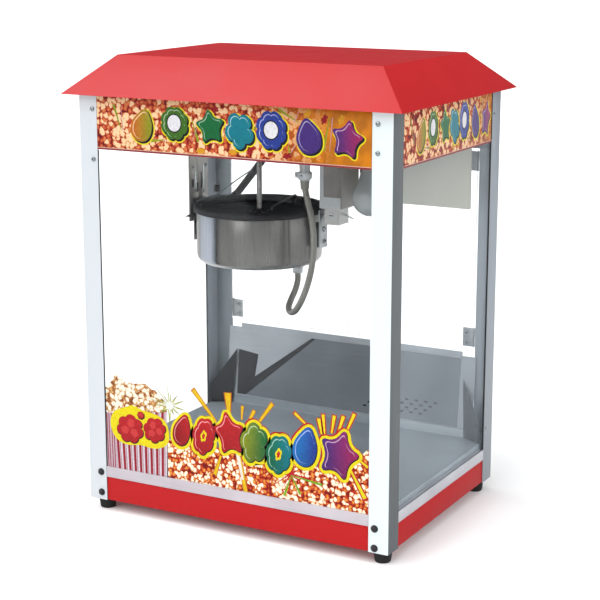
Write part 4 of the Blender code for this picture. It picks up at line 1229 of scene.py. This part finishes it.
SPARK = (-0.1172, 0.204)
SPARK_TIPS = [(-0.084, 0.2), (-0.0852, 0.218), (-0.1, 0.226), (-0.114, 0.23), (-0.1215, 0.2435)]
SPARK_TIPS += [(-0.133, 0.226), (-0.1534, 0.2428), (-0.15, 0.216), (-0.1677, 0.2132), (-0.15, 0.202)]
SPARK_TIPS += [(-0.138, 0.188), (-0.1172, 0.169), (-0.108, 0.188), (-0.096, 0.19)]
for reach, inner, ink, level in (
    (1.0, 0.008, printed(126, 140, 30), 3),
    (0.62, 0.007, printed(206, 208, 120), 4),
    (0.4, 0.0062, printed(236, 236, 232), 5),
):
    art.burst(SPARK, [part_way(SPARK, tip, reach) for tip in SPARK_TIPS], inner, ink, level)

ORANGE_EDGE = printed(186, 92, 16)
RAY_YELLOW = printed(228, 186, 20)
YELLOW_RAYS = [((-0.029, 0.19), (-0.073, 0.239), 0.0075), ((-0.0045, 0.206), (-0.0068, 0.242), 0.012)]
YELLOW_RAYS += [((0.0189, 0.2), (0.0206, 0.224), 0.005), ((0.027, 0.19), (0.0426, 0.2195), 0.006)]
YELLOW_RAYS += [((0.044, 0.192), (0.076, 0.236), 0.0065), ((-0.0205, 0.134), (-0.033, 0.099), 0.007)]
YELLOW_RAYS += [((0.009, 0.17), (0.027, DECAL_FOOT), 0.0075)]
for start, end, width in YELLOW_RAYS:
    wide = width * 1.3
    art.ray(start, end, wide * 0.5, wide, ORANGE_EDGE, 3)
    art.ray(start, part_way(start, end, 0.97), wide * 0.3, wide * 0.72, RAY_YELLOW, 4)
art.ray((0.006, 0.164), (0.02, 0.1), 0.0085, 0.004, printed(236, 230, 214), 5)
RED_RAYS = [((0.148, 0.2), (0.113, 0.227), 0.006), ((0.1625, 0.198), (0.157, 0.224), 0.008)]
RED_RAYS += [((0.168, 0.198), (0.165, 0.232), 0.007), ((0.18, 0.202), (0.185, 0.233), 0.0075)]
RED_RAYS += [((0.19, 0.2), (0.201, 0.2345), 0.0075), ((0.203, 0.202), (0.22, 0.241), 0.007)]
RED_RAYS += [((0.212, 0.15), (0.24, 0.103), 0.0085), ((0.2222, 0.17), (0.244, 0.156), 0.006)]
for start, end, width in RED_RAYS:
    wide = width * 1.25
    art.ray(start, end, wide * 0.8, wide, INKS["red"], 3)
    art.ray(start, part_way(start, end, 0.95), wide * 0.25, wide * 0.6, YELLOW, 4)
LOW_TIPS = [(0.165, 0.119), (0.14, 0.106), (0.126, 0.096), (0.106, 0.083), (0.093, 0.098)]
LOW_TIPS += [(0.07, 0.096), (0.088, 0.118), (0.106, 0.14), (0.122, 0.133)]
art.burst((0.107, 0.124), LOW_TIPS, 0.006, INKS["red"], 3)
for tip in ((0.164, 0.115), (0.125, 0.093), (0.096, 0.086)):
    art.ray((0.109, 0.122), tip, 0.0012, 0.0042, printed(120, 170, 40), 4)

DECAL_SHAPES = [
    (KERNEL, (-0.0943, 0.1669), (0.038, 0.06), "dark_red", "red", -14),
    (puff(7, 0.14), (-0.0528, 0.162), (0.042, 0.066), "red", "red", -14),
    (STAR, (-0.005, 0.173), (0.068, 0.086), "red", "red", 10),
    (puff(5, 0.26), (0.041, 0.165), (0.05, 0.07), "lime", "green", -10),
    (puff(7, 0.14), (0.086, 0.153), (0.046, 0.066), "green", "teal", -12),
    (KERNEL, (0.134, 0.174), (0.05, 0.072), "sky", "blue", -10),
    (STAR, (0.192, 0.169), (0.08, 0.096), "violet", "magenta", -16),
]
for i, (form, centre, size, first, last, spin) in enumerate(DECAL_SHAPES):
    rim = INKS["red"] if i > 2 else None
    ink = shaded(INKS[first], INKS[last], 0.75)
    art.badge(form, centre, size, ink, 6, spin, (0.0012, -0.001), 0.0056, rim)
for x, v, size in ((-0.0528, 0.162, 0.014), (0.086, 0.153, 0.015)):
    art.film(placed(puff(5, 0.3, 40), (x, v), (size * 0.8, size * 1.5), -14), YELLOW, 12)
    art.film(placed(puff(5, 0.3, 40), (x, v), (size * 0.4, size * 0.8), -14), INKS["red"], 13)

PLAQUE = [(-0.2378, 0.156), (-0.23, 0.18), (-0.208, 0.188), (-0.19, 0.196), (-0.17, 0.188)]
PLAQUE += [(-0.144, 0.186), (-0.124, 0.176), (-0.1172, 0.152), (-0.124, 0.133), (-0.15, 0.124)]
PLAQUE += [(-0.176, 0.129), (-0.202, 0.1229), (-0.226, 0.131)]
art.film(rounded(PLAQUE[::-1]), YELLOW, 6)
LUMPS = (((-0.1963, 0.1534), 0.054, 10), ((-0.1478, 0.1581), 0.046, 40), ((-0.1745, 0.18), 0.014, 0))
for (u, v), size, spin in LUMPS:
    lump = placed(puff(7, 0.2), (u, v), (size, size * 0.92), spin)
    art.film([(x + 0.0008, y - 0.001) for x, y in grown(lump, 0.0008)], BLACK_INK, 7)
    art.film(lump, shaded(INKS["red"], INKS["red"], 0.8), 8)
    for way in (70, 190, 310):
        t = radians(way + spin)
        fold = (u + size * 0.2 * cos(t), v + size * 0.18 * sin(t))
        art.film(placed(puff(5, 0.2, 40), fold, (size * 0.3, size * 0.26), way), printed(206, 58, 58), 9)
art.piece("decal_art", "ink")
